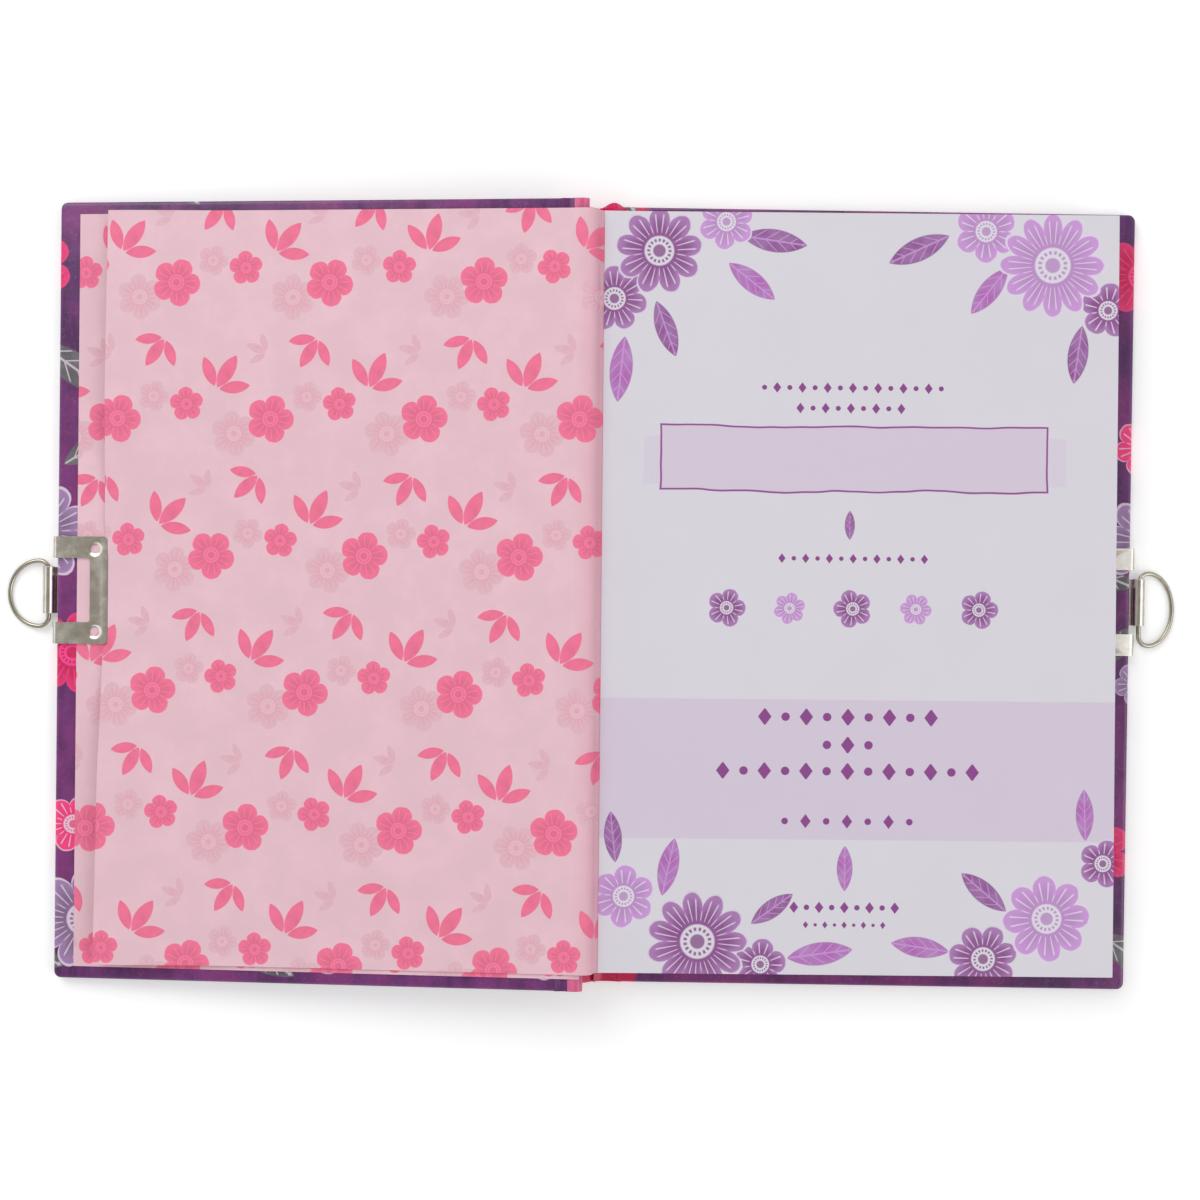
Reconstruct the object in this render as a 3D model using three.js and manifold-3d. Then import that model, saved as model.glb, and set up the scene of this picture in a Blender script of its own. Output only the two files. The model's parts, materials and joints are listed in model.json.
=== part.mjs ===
// Secret diary with lock plates on both covers, lying open at its title page.
// Millimetres. X runs to the right across the open book, Y towards its head, Z up from the table.
// The pages lie on the back cover at the right. The front cover is turned over to the left.

import * as THREE from 'three'
import { mergeVertices } from 'three/addons/utils/BufferGeometryUtils.js'
import Module from 'manifold-3d'

const wasm = await Module()
wasm.setup()

// Pages
const pageWidth = 138.9
const pageHeight = 205.3
const leafThickness = 0.25
const sectionCount = 8
const sectionThickness = 1.15
const titleLeafStart = 1.5
const liningThickness = 0.35
const liningEndGap = 6
const bandRadius = 0.5
const bandHeight = 1.2

// Covers
const headSquare = 2.85
const tailSquare = 4.65
const foreEdgeSquare = 6.4
const boardThickness = 1.9
const coverPaperThickness = 0.3
const turnIn = 15
const jointWidth = 6.5
const cornerRadius = 1.3
const backCoverSkew = THREE.MathUtils.degToRad(0.35)
const backCoverShift = 0.3
const frontJointEnd = -0.4
const backJointEnd = -0.45
const jointPaperThickness = 0.5

// Endpapers
const endpaperThickness = 0.2
const endpaperMargin = 5.7
const endpaperSquare = 3.4
const flyleafStart = 5
const flyleafInsetAtHead = 14.5
const flyleafInsetAtTail = 12.4

// Spine
const spineOffset = 2
const spineBulge = 1.8
const spineTuck = 0.45
const spinePaperThickness = 0.35
const spineBoardThickness = 0.9
const spineLean = THREE.MathUtils.degToRad(28)
const spinePivot = { x: -0.7, drop: 0.6 }
const lipReach = 1.05
const lipRise = 1.5

// Hinge line of the front cover and of the title leaf
const hingeX = -2.2
const titleHingeRise = 0.25

// Head cap: the joint paper rucked up into a small arch at the head
const headCapLeft = -1.2
const headCapWidth = 7.9
const headCapRise = 7.4
const headCapThickness = 0.6

// Lock plates
const plateThickness = 0.5
const plateHeight = 29.4
const plateReach = 14.5
const plateBarWidth = 5
const plateWindowHeight = 17.6
const plateBendReach = 1.45
const plateBendRadius = 1.2
const plateCornerRadius = 1.2
const dimpleHoleRadius = 1.3
const dimpleHoleInset = 3.6
const dimpleHoleSpacing = 22.6
const barrelLength = 12.9
const barrelRadius = 1.7
const barrelWall = 0.55
const barrelOffset = 2.9

// D-rings, bent by hand, so each has a width and depth of its own
const wireRadius = 0.65
const ringCorner = 2.7
const frontRing = { width: 19.3, depth: 11.6, slack: 1 }
const backRing = { width: 21.2, depth: 10, slack: -2 }

// Clearances
const glueGap = 0.1
const leafGap = 0.05
const looseGap = 0.3
const closedGap = 0.2
const tableGap = 0.05

// Sizes that follow from the ones above
const coverHeight = pageHeight + headSquare + tailSquare
const caseShift = (headSquare - tailSquare) / 2
const endpaperHeight = coverHeight - 2 * endpaperSquare
const coverLayer = coverPaperThickness + glueGap
const coverThickness = boardThickness + 2 * coverLayer
const coverMiddle = coverThickness / 2
const pastedownTop = coverThickness + glueGap + endpaperThickness
const plateSeat = pastedownTop + glueGap
const plateTop = plateSeat + plateThickness
const plateProud = plateThickness + glueGap
const barrelHeight = barrelRadius - plateProud

const backFlyleafZ = plateProud + plateTop + glueGap
const sectionsZ = backFlyleafZ + leafThickness + glueGap
const sectionPitch = sectionThickness + leafGap
const blockTop = sectionsZ + sectionCount * sectionPitch - leafGap
const titleLeafZ = blockTop + leafGap
const titleLeafTop = titleLeafZ + leafThickness

const closedLayer = Math.max(plateProud, looseGap + leafThickness) + closedGap
const closedPastedownZ = titleLeafTop + closedLayer
const hingeZ = closedPastedownZ + pastedownTop - coverMiddle
const closedTop = hingeZ + coverMiddle

const foreEdge = pageWidth + foreEdgeSquare
const frontReach = foreEdge - hingeX

// The open front cover slopes down until the barrel on its fore-edge meets the table
function openSlope() {
  const below = coverMiddle - barrelHeight
  const out = frontReach + barrelOffset
  const drop = hingeZ - barrelRadius
  return Math.asin(drop / Math.hypot(below, out)) - Math.atan2(below, out)
}

const frontSlope = openSlope()

// Materials
function material(color, roughness, metalness = 0) {
  return new THREE.MeshStandardMaterial({ color, roughness, metalness })
}

const greyBoard = material(0x9a948a, 0.9)
const coverPrint = material(0x743f78, 0.35)
const spinePrint = material(0xd6206a, 0.35)
const pinkPaper = material(0xe5bcc7, 0.8)
const pageStock = material(0xe4e1ea, 0.8)
const gauze = material(0xe9e4d8, 0.95)
const bandCloth = material(0xf2f0ee, 0.8)
const nickel = material(0x9c9585, 0.3, 1)

// Joining and cutting of closed shapes
function toSolid(geometry) {
  const bare = geometry.clone()
  bare.deleteAttribute('normal')
  bare.deleteAttribute('uv')
  const merged = mergeVertices(bare)
  const vertProperties = new Float32Array(merged.attributes.position.array)
  const triVerts = new Uint32Array(merged.index.array)
  return new wasm.Manifold(new wasm.Mesh({ numProp: 3, vertProperties, triVerts }))
}

function toGeometry(solid) {
  const { vertProperties, triVerts } = solid.getMesh()
  const geometry = new THREE.BufferGeometry()
  geometry.setAttribute('position', new THREE.BufferAttribute(vertProperties, 3))
  geometry.setIndex(new THREE.BufferAttribute(triVerts, 1))
  geometry.computeVertexNormals()
  return geometry
}

function cut(solid, cutters) {
  return cutters.reduce((rest, cutter) => rest.subtract(toSolid(cutter)), solid)
}

// Basic forms
function box([x0, x1], [y0, y1], [z0, z1]) {
  const geometry = new THREE.BoxGeometry(x1 - x0, y1 - y0, z1 - z0)
  return geometry.translate((x0 + x1) / 2, (y0 + y1) / 2, (z0 + z1) / 2)
}

function sheet(x, height, z0, thickness) {
  return box(x, [-height / 2, height / 2], [z0, z0 + thickness])
}

function alongY(outline, height) {
  const geometry = new THREE.ExtrudeGeometry(outline, { depth: height, bevelEnabled: false, curveSegments: 10 })
  return geometry.rotateX(Math.PI / 2).translate(0, height / 2, 0)
}

function alongZ(outline, z0, thickness) {
  const geometry = new THREE.ExtrudeGeometry(outline, { depth: thickness, bevelEnabled: false, curveSegments: 5 })
  return geometry.translate(0, 0, z0)
}

// A sheet with both corners rounded at its outer end
function roundedOutline([x0, x1], height, radius) {
  const half = height / 2
  const outline = new THREE.Shape()
  outline.moveTo(x0, -half)
  outline.lineTo(x1 - radius, -half)
  outline.absarc(x1 - radius, -half + radius, radius, -Math.PI / 2, 0)
  outline.absarc(x1 - radius, half - radius, radius, 0, Math.PI / 2)
  outline.lineTo(x0, half)
  outline.closePath()
  return outline
}

// A bent strip: even thickness along a smooth line through the given points
function strip(points, thickness, height, steps) {
  const line = new THREE.SplineCurve(points)
  const left = []
  const right = []
  for (let i = 0; i <= steps; i++) {
    const point = line.getPoint(i / steps)
    const along = line.getTangent(i / steps)
    const across = new THREE.Vector2(-along.y, along.x).multiplyScalar(thickness / 2)
    left.push(point.clone().add(across))
    right.unshift(point.clone().sub(across))
  }
  return alongY(new THREE.Shape([...left, ...right]), height)
}

function named(name, geometry, finish) {
  const mesh = new THREE.Mesh(geometry, finish)
  mesh.name = name
  return mesh
}

// Covers. In a cover's own frame X runs out to the fore-edge and Z from the outer face to the inner.
function board(boardStart, edge) {
  const x = [boardStart, edge - coverLayer]
  const outline = roundedOutline(x, coverHeight - 2 * coverLayer, cornerRadius)
  return alongZ(outline, coverLayer, boardThickness)
}

function coverWrap(boardStart, edge) {
  const outer = roundedOutline([boardStart - coverLayer, edge], coverHeight, cornerRadius)
  const pocketHeight = coverHeight - 2 * coverPaperThickness
  const pocketX = [boardStart - glueGap, edge - coverPaperThickness]
  const pocket = roundedOutline(pocketX, pocketHeight, cornerRadius)
  const pocketDepth = boardThickness + 2 * glueGap
  const openHeight = coverHeight - 2 * turnIn
  const opening = sheet([boardStart - glueGap, edge - turnIn], openHeight, coverMiddle, coverThickness)
  const wrap = toSolid(alongZ(outer, 0, coverThickness))
  return cut(wrap, [alongZ(pocket, coverPaperThickness, pocketDepth), opening])
}

function pastedown(jointEnd, edge) {
  const x = [jointEnd + 2 * looseGap, edge - endpaperMargin]
  return sheet(x, endpaperHeight, coverThickness + glueGap, endpaperThickness)
}

// The joint strip runs from the board to the spine, its board end cut to the board's angle
function jointStrip(jointEnd, boardStart, skew) {
  const half = coverHeight / 2
  const meets = boardStart - coverLayer + coverPaperThickness / 2
  const lean = half * Math.tan(skew)
  const corners = [
    new THREE.Vector2(jointEnd, -half),
    new THREE.Vector2(meets - lean, -half),
    new THREE.Vector2(meets + lean, half),
    new THREE.Vector2(jointEnd, half)
  ]
  return alongZ(new THREE.Shape(corners), coverThickness - jointPaperThickness, jointPaperThickness)
}

// Lock plate: one strip folded round the fore-edge, with a window, two holes and a rolled barrel
function plateProfile() {
  const outer = plateBendReach
  const inner = plateBendReach - plateThickness
  const profile = new THREE.Shape()
  profile.moveTo(-plateReach, plateTop)
  profile.lineTo(-plateReach, plateSeat)
  profile.lineTo(inner, plateSeat)
  profile.lineTo(inner, -glueGap)
  profile.lineTo(-plateReach, -glueGap)
  profile.lineTo(-plateReach, -plateProud)
  profile.lineTo(outer - plateBendRadius, -plateProud)
  profile.absarc(outer - plateBendRadius, plateBendRadius - plateProud, plateBendRadius, -Math.PI / 2, 0)
  profile.absarc(outer - plateBendRadius, plateTop - plateBendRadius, plateBendRadius, 0, Math.PI / 2)
  profile.closePath()
  return profile
}

function barrelProfile() {
  const profile = new THREE.Shape()
  profile.absarc(barrelOffset, barrelHeight, barrelRadius, 0, 2 * Math.PI)
  const bore = new THREE.Path()
  bore.absarc(barrelOffset, barrelHeight, barrelRadius - barrelWall, 0, 2 * Math.PI)
  profile.holes.push(bore)
  return profile
}

function lockPlate(edge) {
  const far = barrelOffset + 2 * barrelRadius
  const window = plateWindowHeight / 2
  const tongue = barrelLength / 2
  const fold = toSolid(alongY(plateProfile(), plateHeight))
  const blank = roundedOutline([-plateReach, plateBendReach], plateHeight, plateCornerRadius)
  const rounded = toSolid(alongZ(blank, -barrelRadius, plateTop + 2 * barrelRadius).rotateZ(Math.PI)
    .translate(plateBendReach - plateReach, 0, 0))
  const openings = [
    box([-plateReach + plateBarWidth, far], [-window, window], [-glueGap, 2 * plateTop]),
    box([0, far], [tongue, window], [-far, far]),
    box([0, far], [-window, -tongue], [-far, far])
  ]
  for (const side of [-1, 1]) {
    const hole = new THREE.CylinderGeometry(dimpleHoleRadius, dimpleHoleRadius, 2 * plateThickness, 20)
    const x = -plateReach + dimpleHoleInset
    openings.push(hole.rotateX(Math.PI / 2).translate(x, (side * dimpleHoleSpacing) / 2, plateTop))
  }
  const tongueX = [-plateThickness, barrelOffset]
  const tongueStrip = box(tongueX, [-tongue, tongue], [-plateProud, -glueGap])
  const bore = barrelProfile().holes[0]
  const boreCutter = alongY(new THREE.Shape(bore.getPoints(10)), 2 * barrelLength)
  const barrel = toSolid(alongY(barrelProfile(), barrelLength))
  const rolled = cut(toSolid(tongueStrip), [boreCutter]).add(barrel)
  return toGeometry(cut(fold.intersect(rounded), openings).add(rolled)).translate(edge, 0, 0)
}

// D-ring about its straight bar: rounded corners, then a half-round bow
function ringBow(width, depth) {
  const half = width / 2 - wireRadius
  const out = depth - wireRadius - ringCorner
  const points = []
  const quarter = Math.PI / 2
  for (let i = 0; i <= 4; i++) {
    const turn = Math.PI - (quarter * i) / 4
    const y = half - ringCorner + ringCorner * Math.sin(turn)
    points.push(new THREE.Vector3(ringCorner + ringCorner * Math.cos(turn), y, 0))
  }
  for (let i = 1; i <= 12; i++) {
    const turn = quarter - (quarter * i) / 12
    points.push(new THREE.Vector3(ringCorner + out * Math.cos(turn), half * Math.sin(turn), 0))
  }
  const mirrored = points.slice(0, -1).reverse().map((point) => new THREE.Vector3(point.x, -point.y, 0))
  return new THREE.CatmullRomCurve3([...points, ...mirrored])
}

function dRing({ width, depth }) {
  const section = new THREE.Shape()
  section.absarc(0, 0, wireRadius, 0, 2 * Math.PI)
  const bow = new THREE.ExtrudeGeometry(section, {
    steps: 44,
    curveSegments: 4,
    extrudePath: ringBow(width, depth)
  })
  const barLength = width - 2 * (wireRadius + ringCorner) + wireRadius
  const bar = new THREE.CylinderGeometry(wireRadius, wireRadius, barLength, 12)
  return toGeometry(toSolid(bow).add(toSolid(bar)))
}

function ringGroup(name, ring, x, slope) {
  const group = new THREE.Group()
  const droop = Math.asin((barrelRadius - wireRadius - tableGap) / ring.depth)
  group.position.set(x + barrelOffset, ring.slack, barrelHeight)
  group.rotation.y = droop - slope
  group.add(named(name, dRing(ring), nickel))
  return group
}

// Front cover, in its own frame about its hinge line, turned over and sloped down to the left
function frontCover() {
  const jointEnd = frontJointEnd - hingeX
  const boardStart = jointWidth - hingeX
  const paper = coverWrap(boardStart, frontReach).add(toSolid(jointStrip(jointEnd, boardStart, 0)))
  const turned = new THREE.Group()
  turned.rotation.z = Math.PI
  turned.position.z = -coverMiddle
  turned.add(named('front_board', board(boardStart, frontReach), greyBoard))
  turned.add(named('front_cover_paper', toGeometry(paper), coverPrint))
  turned.add(named('front_pastedown', pastedown(jointEnd, frontReach), pinkPaper))
  turned.add(named('front_lock_plate', lockPlate(frontReach), nickel))
  turned.add(named('front_flyleaf', frontFlyleaf(), pinkPaper))
  turned.add(ringGroup('front_d_ring', frontRing, frontReach, frontSlope))
  const group = new THREE.Group()
  group.position.set(hingeX, caseShift, hingeZ)
  group.rotation.y = -frontSlope
  group.add(turned)
  return group
}

// The free leaf lies a little askew, level with the pages, and its edge stops round the lock plate
function frontFlyleaf() {
  const head = caseShift - pageHeight / 2
  const tail = caseShift + pageHeight / 2
  const corners = [
    new THREE.Vector2(flyleafStart, head),
    new THREE.Vector2(frontReach - flyleafInsetAtHead, head),
    new THREE.Vector2(frontReach - flyleafInsetAtTail, tail),
    new THREE.Vector2(flyleafStart, tail)
  ]
  const leaf = toSolid(alongZ(new THREE.Shape(corners), pastedownTop + looseGap, leafThickness))
  const notchX = [frontReach - plateReach - looseGap, 2 * frontReach]
  const notch = sheet(notchX, plateHeight + 2 * looseGap, 0, 2 * plateTop)
  return toGeometry(cut(leaf, [notch]))
}

// Back cover, flat on the table, a little askew to the pages and nearer to their head than the spine
function backCover() {
  const askew = (geometry) => geometry.rotateZ(-backCoverSkew)
  const wrap = toSolid(askew(toGeometry(coverWrap(jointWidth, foreEdge))))
  const paper = wrap.add(toSolid(jointStrip(backJointEnd, jointWidth, backCoverSkew)))
  const group = new THREE.Group()
  group.position.set(0, caseShift + backCoverShift, plateProud)
  group.add(named('back_board', askew(board(jointWidth, foreEdge)), greyBoard))
  group.add(named('back_cover_paper', toGeometry(paper), coverPrint))
  group.add(named('back_pastedown', askew(pastedown(backJointEnd, foreEdge)), pinkPaper))
  group.add(named('back_lock_plate', askew(lockPlate(foreEdge)), nickel))
  const turned = new THREE.Group()
  turned.rotation.z = -backCoverSkew
  turned.add(ringGroup('back_d_ring', backRing, foreEdge, 0))
  group.add(turned)
  return group
}

// Text block: a flyleaf, the sewn sections with rounded folds, and what binds them at the spine
function sectionOutline() {
  const radius = sectionThickness / 2
  const outline = new THREE.Shape()
  outline.moveTo(pageWidth, 0)
  outline.lineTo(pageWidth, sectionThickness)
  outline.lineTo(radius, sectionThickness)
  outline.absarc(radius, radius, radius, Math.PI / 2, (3 * Math.PI) / 2)
  outline.closePath()
  return outline
}

function textBlock() {
  const group = new THREE.Group()
  group.add(named('back_flyleaf', sheet([0, pageWidth], pageHeight, backFlyleafZ, leafThickness), pinkPaper))
  for (let i = 0; i < sectionCount; i++) {
    const section = named(`page_section_${i + 1}`, alongY(sectionOutline(), pageHeight), pageStock)
    section.position.z = sectionsZ + i * sectionPitch
    group.add(section)
  }
  const liningX = [-glueGap - liningThickness, -glueGap]
  const liningHeight = pageHeight - 2 * liningEndGap
  const blockThickness = blockTop - sectionsZ
  group.add(named('spine_lining', sheet(liningX, liningHeight, sectionsZ, blockThickness), gauze))
  for (const [name, side] of [['head_band', 1], ['tail_band', -1]]) {
    const bead = new THREE.CylinderGeometry(bandRadius, bandRadius, blockThickness, 12)
    bead.rotateX(Math.PI / 2).scale(1, bandHeight, 1)
    const y = side * (pageHeight / 2 - bandRadius * bandHeight)
    bead.translate(-glueGap - bandRadius, y, sectionsZ + blockThickness / 2)
    group.add(named(name, bead, bandCloth))
  }
  return group
}

function titleLeaf() {
  const group = new THREE.Group()
  const hinge = hingeZ + titleHingeRise
  group.position.set(hingeX, 0, hinge)
  const x = [titleLeafStart - hingeX, pageWidth - hingeX]
  group.add(named('title_leaf', sheet(x, pageHeight, titleLeafZ - hinge, leafThickness), pageStock))
  return group
}

// Fold of the front endpaper, from the head of the block up and over the end of the front cover
function endpaperFold() {
  const over = hingeZ + pastedownTop - coverMiddle + looseGap + leafThickness
  const slope = Math.tan(frontSlope)
  const end = hingeX - flyleafStart + looseGap
  const points = [
    new THREE.Vector2(titleLeafStart - looseGap, titleLeafTop),
    new THREE.Vector2(-looseGap, titleLeafTop + looseGap),
    new THREE.Vector2(hingeX / 2, (titleLeafTop + over) / 2),
    new THREE.Vector2(hingeX, over),
    new THREE.Vector2((hingeX + end) / 2 - looseGap, over + looseGap / 2),
    new THREE.Vector2(end, over + slope * (end - hingeX))
  ]
  return strip(points, leafThickness, pageHeight, 20)
}

// Rounded spine, drawn as it stands when the book is closed and then leaned over with the open cover
function spineLine(inset) {
  const bottom = plateProud + spineTuck
  const top = closedTop - spineTuck
  const points = []
  for (let i = 0; i <= 8; i++) {
    const across = (i / 8) * 2 - 1
    const x = -spineOffset - spineBulge * (1 - across * across) + inset
    points.push(new THREE.Vector2(x, THREE.MathUtils.lerp(bottom, top, i / 8)))
  }
  return points
}

function spinePaper() {
  const line = spineLine(0)
  const lips = (end, rise) => [
    new THREE.Vector2(end.x + 0.75 * lipReach, end.y + 0.15 * rise),
    new THREE.Vector2(end.x + lipReach, end.y + rise)
  ]
  const lower = lips(line[0], lipRise).reverse()
  const upper = lips(line[line.length - 1], -lipRise)
  return strip([...lower, ...line, ...upper], spinePaperThickness, coverHeight, 48)
}

function spineCard() {
  const inset = (spinePaperThickness + spineBoardThickness) / 2 + glueGap
  const line = spineLine(inset).slice(1, -1)
  return strip(line, spineBoardThickness, coverHeight - 2 * coverLayer, 16)
}

function spine() {
  const pivotZ = plateProud + coverThickness - spinePivot.drop
  const group = new THREE.Group()
  group.position.set(spinePivot.x, caseShift, pivotZ)
  group.rotation.y = -spineLean
  const place = (geometry) => geometry.translate(-spinePivot.x, 0, -pivotZ)
  group.add(named('spine_cover_paper', place(spinePaper()), spinePrint))
  group.add(named('spine_board', place(spineCard()), greyBoard))
  return group
}

function headCap() {
  const radius = headCapWidth / 2
  const profile = new THREE.Shape()
  profile.absellipse(0, 0, radius, headCapRise, 0, Math.PI)
  const inner = [radius - headCapThickness, headCapRise - headCapThickness]
  profile.absellipse(0, 0, inner[0], inner[1], Math.PI, 0, true)
  profile.closePath()
  const length = headSquare - looseGap
  const geometry = alongY(profile, length)
  const y = caseShift + coverHeight / 2 - length / 2
  return geometry.translate(headCapLeft + radius, y, plateProud + coverThickness + glueGap)
}

const diary = new THREE.Group()
diary.add(backCover(), textBlock(), titleLeaf(), frontCover(), spine())
diary.add(named('front_endpaper_fold', endpaperFold(), pinkPaper))
diary.add(named('head_cap', headCap(), spinePrint))

// The origin is the middle of the overall box, on the table
diary.updateMatrixWorld(true)
const bounds = new THREE.Box3().setFromObject(diary, true)
const middle = bounds.getCenter(new THREE.Vector3())
diary.position.set(-middle.x, -middle.y, -bounds.min.z)
diary.updateMatrixWorld(true)

export default diary
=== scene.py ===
"""Secret diary lying open at its title page: papers, laminated covers and nickel fittings."""

import json
import math

import bmesh
import bpy
from bpy.props import FloatProperty, FloatVectorProperty, IntProperty, PointerProperty
from mathutils import Matrix, Vector
from mathutils.geometry import delaunay_2d_cdt


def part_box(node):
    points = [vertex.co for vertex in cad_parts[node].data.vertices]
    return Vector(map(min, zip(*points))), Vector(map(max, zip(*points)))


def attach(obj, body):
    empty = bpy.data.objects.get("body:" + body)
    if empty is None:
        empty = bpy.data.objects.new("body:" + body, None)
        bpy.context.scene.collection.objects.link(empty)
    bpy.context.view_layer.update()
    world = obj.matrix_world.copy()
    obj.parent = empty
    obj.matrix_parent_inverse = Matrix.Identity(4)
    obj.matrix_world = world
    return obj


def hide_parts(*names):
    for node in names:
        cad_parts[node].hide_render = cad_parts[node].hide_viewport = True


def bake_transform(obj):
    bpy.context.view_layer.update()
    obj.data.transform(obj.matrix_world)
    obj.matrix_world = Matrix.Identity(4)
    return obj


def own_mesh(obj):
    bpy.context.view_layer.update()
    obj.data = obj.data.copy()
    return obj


bl_info = {
    "name": "Open Diary with Lock Plates",
    "version": (1, 0, 0),
    "blender": (4, 5, 0),
    "location": "View3D > Sidebar > Diary",
    "description": "Dresses a hard-cover diary: papers, covers, lock plates, rings and studio",
    "category": "Add Mesh",
}

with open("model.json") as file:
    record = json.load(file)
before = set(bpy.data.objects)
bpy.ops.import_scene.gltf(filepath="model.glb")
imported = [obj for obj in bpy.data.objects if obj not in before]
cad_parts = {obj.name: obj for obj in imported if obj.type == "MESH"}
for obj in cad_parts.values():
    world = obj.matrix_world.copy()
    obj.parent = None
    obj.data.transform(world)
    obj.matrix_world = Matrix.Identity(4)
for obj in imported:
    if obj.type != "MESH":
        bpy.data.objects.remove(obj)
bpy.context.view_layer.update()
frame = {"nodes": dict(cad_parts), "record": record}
MM = 0.001

# Places taken from the frame
JOINTS = {joint["name"]: joint for joint in frame["record"]["behaviour"]["joints"]}
HINGE = Vector(JOINTS["front_cover_hinge"]["pos_m"])
FRONT_SLOPE = math.radians(JOINTS["front_cover_hinge"]["range_deg"][1] - 180)
RING_AXIS = JOINTS["back_ring_swivel"]["axis"]
BACK_SKEW = math.atan2(-RING_AXIS[0], -RING_AXIS[1])
SPINE_EDGE, PAGE_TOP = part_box("page_section_1")[0].x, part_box("title_leaf")[1].z
PAGE_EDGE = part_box("title_leaf")[1].x
PAGE_FOOT, PAGE_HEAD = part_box("title_leaf")[0].y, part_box("title_leaf")[1].y
PAGE_MIDDLE = (PAGE_FOOT + PAGE_HEAD) / 2
PAGE_HEIGHT = PAGE_HEAD - PAGE_FOOT
COVER_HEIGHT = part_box("spine_cover_paper")[1].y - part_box("spine_cover_paper")[0].y

# Real sizes that the frame doesn't name, as in the part's construction
HINGE_BEHIND = 2.2 * MM  # from the front cover's hinge to where a cover's sizes start
FORE_EDGE = 145.3 * MM
BOARD_START = 6.1 * MM
COVER_THICKNESS = 2.7 * MM
PLATE_PROUD = 0.6 * MM
FLYLEAF_BASE = 3.3 * MM
FLYLEAF_START = 4.7 * MM
FLYLEAF_INSETS = (14.5 * MM, 12.4 * MM)  # from the cover's fore-edge, at head and tail
PAPER, FOLD_PAPER, JOINT_PAPER, SPINE_WRAP = 0.25 * MM, 0.2 * MM, 0.3 * MM, 1.4 * MM
OFF_THE_PAGE = 0.6  # metres along the print map, past everything printed
PLATE_REACH = 14.5 * MM
PLATE_HEIGHT = 29.4 * MM
NOTCH_GAP = 0.4 * MM  # between the plate and the flyleaf's notch
BARREL_OFFSET = 2.9 * MM
BARREL_RADIUS = 1.7 * MM
BARREL_LENGTH = 12.9 * MM
BARREL_HEIGHT = BARREL_RADIUS - PLATE_PROUD
RING_CORNER, RING_GAP = 2.7 * MM, 0.3 * MM
CLOSED_TOP = 18.3 * MM
SPINE_OFFSET = 2 * MM
SPINE_BULGE = 1.8 * MM
SPINE_TUCK = 0.45 * MM
# Rings: outer width and depth, how far along the barrel they lie, and the slope of their cover
RINGS = {
    "front": {"width": 19.3 * MM, "depth": 11.6 * MM, "slack": 1 * MM, "slope": FRONT_SLOPE},
    "back": {"width": 21.2 * MM, "depth": 10 * MM, "slack": -2 * MM, "slope": 0},
}


def front_cover_place():
    """Cover's own frame (X out to the fore-edge, Z to the inner face) to the open front cover."""
    turned = Matrix.Translation((0, 0, -COVER_THICKNESS / 2)) @ Matrix.Rotation(math.pi, 4, "Z")
    return Matrix.Translation(HINGE) @ Matrix.Rotation(-FRONT_SLOPE, 4, "Y") @ turned


def back_cover_place():
    """Back cover's own frame, found from where its ring hangs."""
    turned = Matrix.Rotation(-BACK_SKEW, 4, "Z")
    to_ring = turned @ Vector((FORE_EDGE + BARREL_OFFSET, RINGS["back"]["slack"], 0))
    middle = JOINTS["back_ring_swivel"]["pos_m"][1] - to_ring.y
    return Matrix.Translation((SPINE_EDGE, middle, PLATE_PROUD)) @ turned


FRONT_COVER = front_cover_place()
BACK_COVER = back_cover_place()
FRONT_REACH = FORE_EDGE + HINGE_BEHIND
# Each cover's frame, the place of its fore-edge there, and the body that carries it
SIDES = {
    "front": (FRONT_COVER, FRONT_REACH, "front_cover"),
    "back": (BACK_COVER, FORE_EDGE, "back_half"),
}


# Settings that a user would change


def colour(name, description, default):
    return FloatVectorProperty(
        name=name, description=description, default=default, size=3, min=0, max=1,
        subtype="COLOR_GAMMA",
    )


def number(name, description, default, **limits):
    return FloatProperty(name=name, description=description, default=default, **limits)


def length(name, description, default):
    return number(name, description, default, min=0, unit="LENGTH", precision=5)


class DiaryPaperSettings(bpy.types.PropertyGroup):
    endpaper: colour("Endpaper", "Pink of the endpapers", (0.922, 0.768, 0.81))
    rose: colour("Rose ink", "Strong motifs on the endpapers", (0.925, 0.45, 0.58))
    ghost: colour("Faint ink", "Faint motifs on the endpapers", (0.9, 0.67, 0.73))
    page: colour("Page", "Lilac-white of the title page", (0.865, 0.852, 0.885))
    stock: colour("Leaf edges", "Cut edges of the leaves", (0.9, 0.89, 0.88))
    wash: colour("Lilac wash", "Band and name box on the title page", (0.85, 0.8, 0.87))
    violet: colour("Violet ink", "Dark ink on the title page", (0.53, 0.27, 0.53))
    mauve: colour("Mauve ink", "Light ink of the flowers on the title page", (0.73, 0.55, 0.77))
    lift: length("Flyleaf lift", "How far the flyleaf's free edge springs up", 2.6 * MM)
    curl: length("Gutter curl", "How far the title leaf rises at the gutter", 0.35 * MM)


class DiaryCoverSettings(bpy.types.PropertyGroup):
    purple: colour("Cover purple", "Ground of the cover print", (0.39, 0.2, 0.43))
    crimson: colour("Crimson", "Large flowers of the cover print", (0.8, 0.13, 0.33))
    hot_pink: colour("Hot pink", "Bright flowers and the spine", (0.95, 0.25, 0.5))
    cap: colour("Head cap", "Bright paper gathered over the head of the spine", (0.96, 0.08, 0.4))
    lilac: colour("Lilac", "Pale flowers of the cover print", (0.7, 0.55, 0.75))
    leaf: colour("Leaf grey", "Leaves of the cover print", (0.43, 0.42, 0.44))
    strip: colour("Joint pink", "Joint strip beside the boards", (0.9, 0.42, 0.6))
    rounding: length("Edge rounding", "Radius of the paper over the board's edges", 0.7 * MM)
    corner: length("Corner radius", "Radius of the cover's corners", 1.9 * MM)


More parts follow.
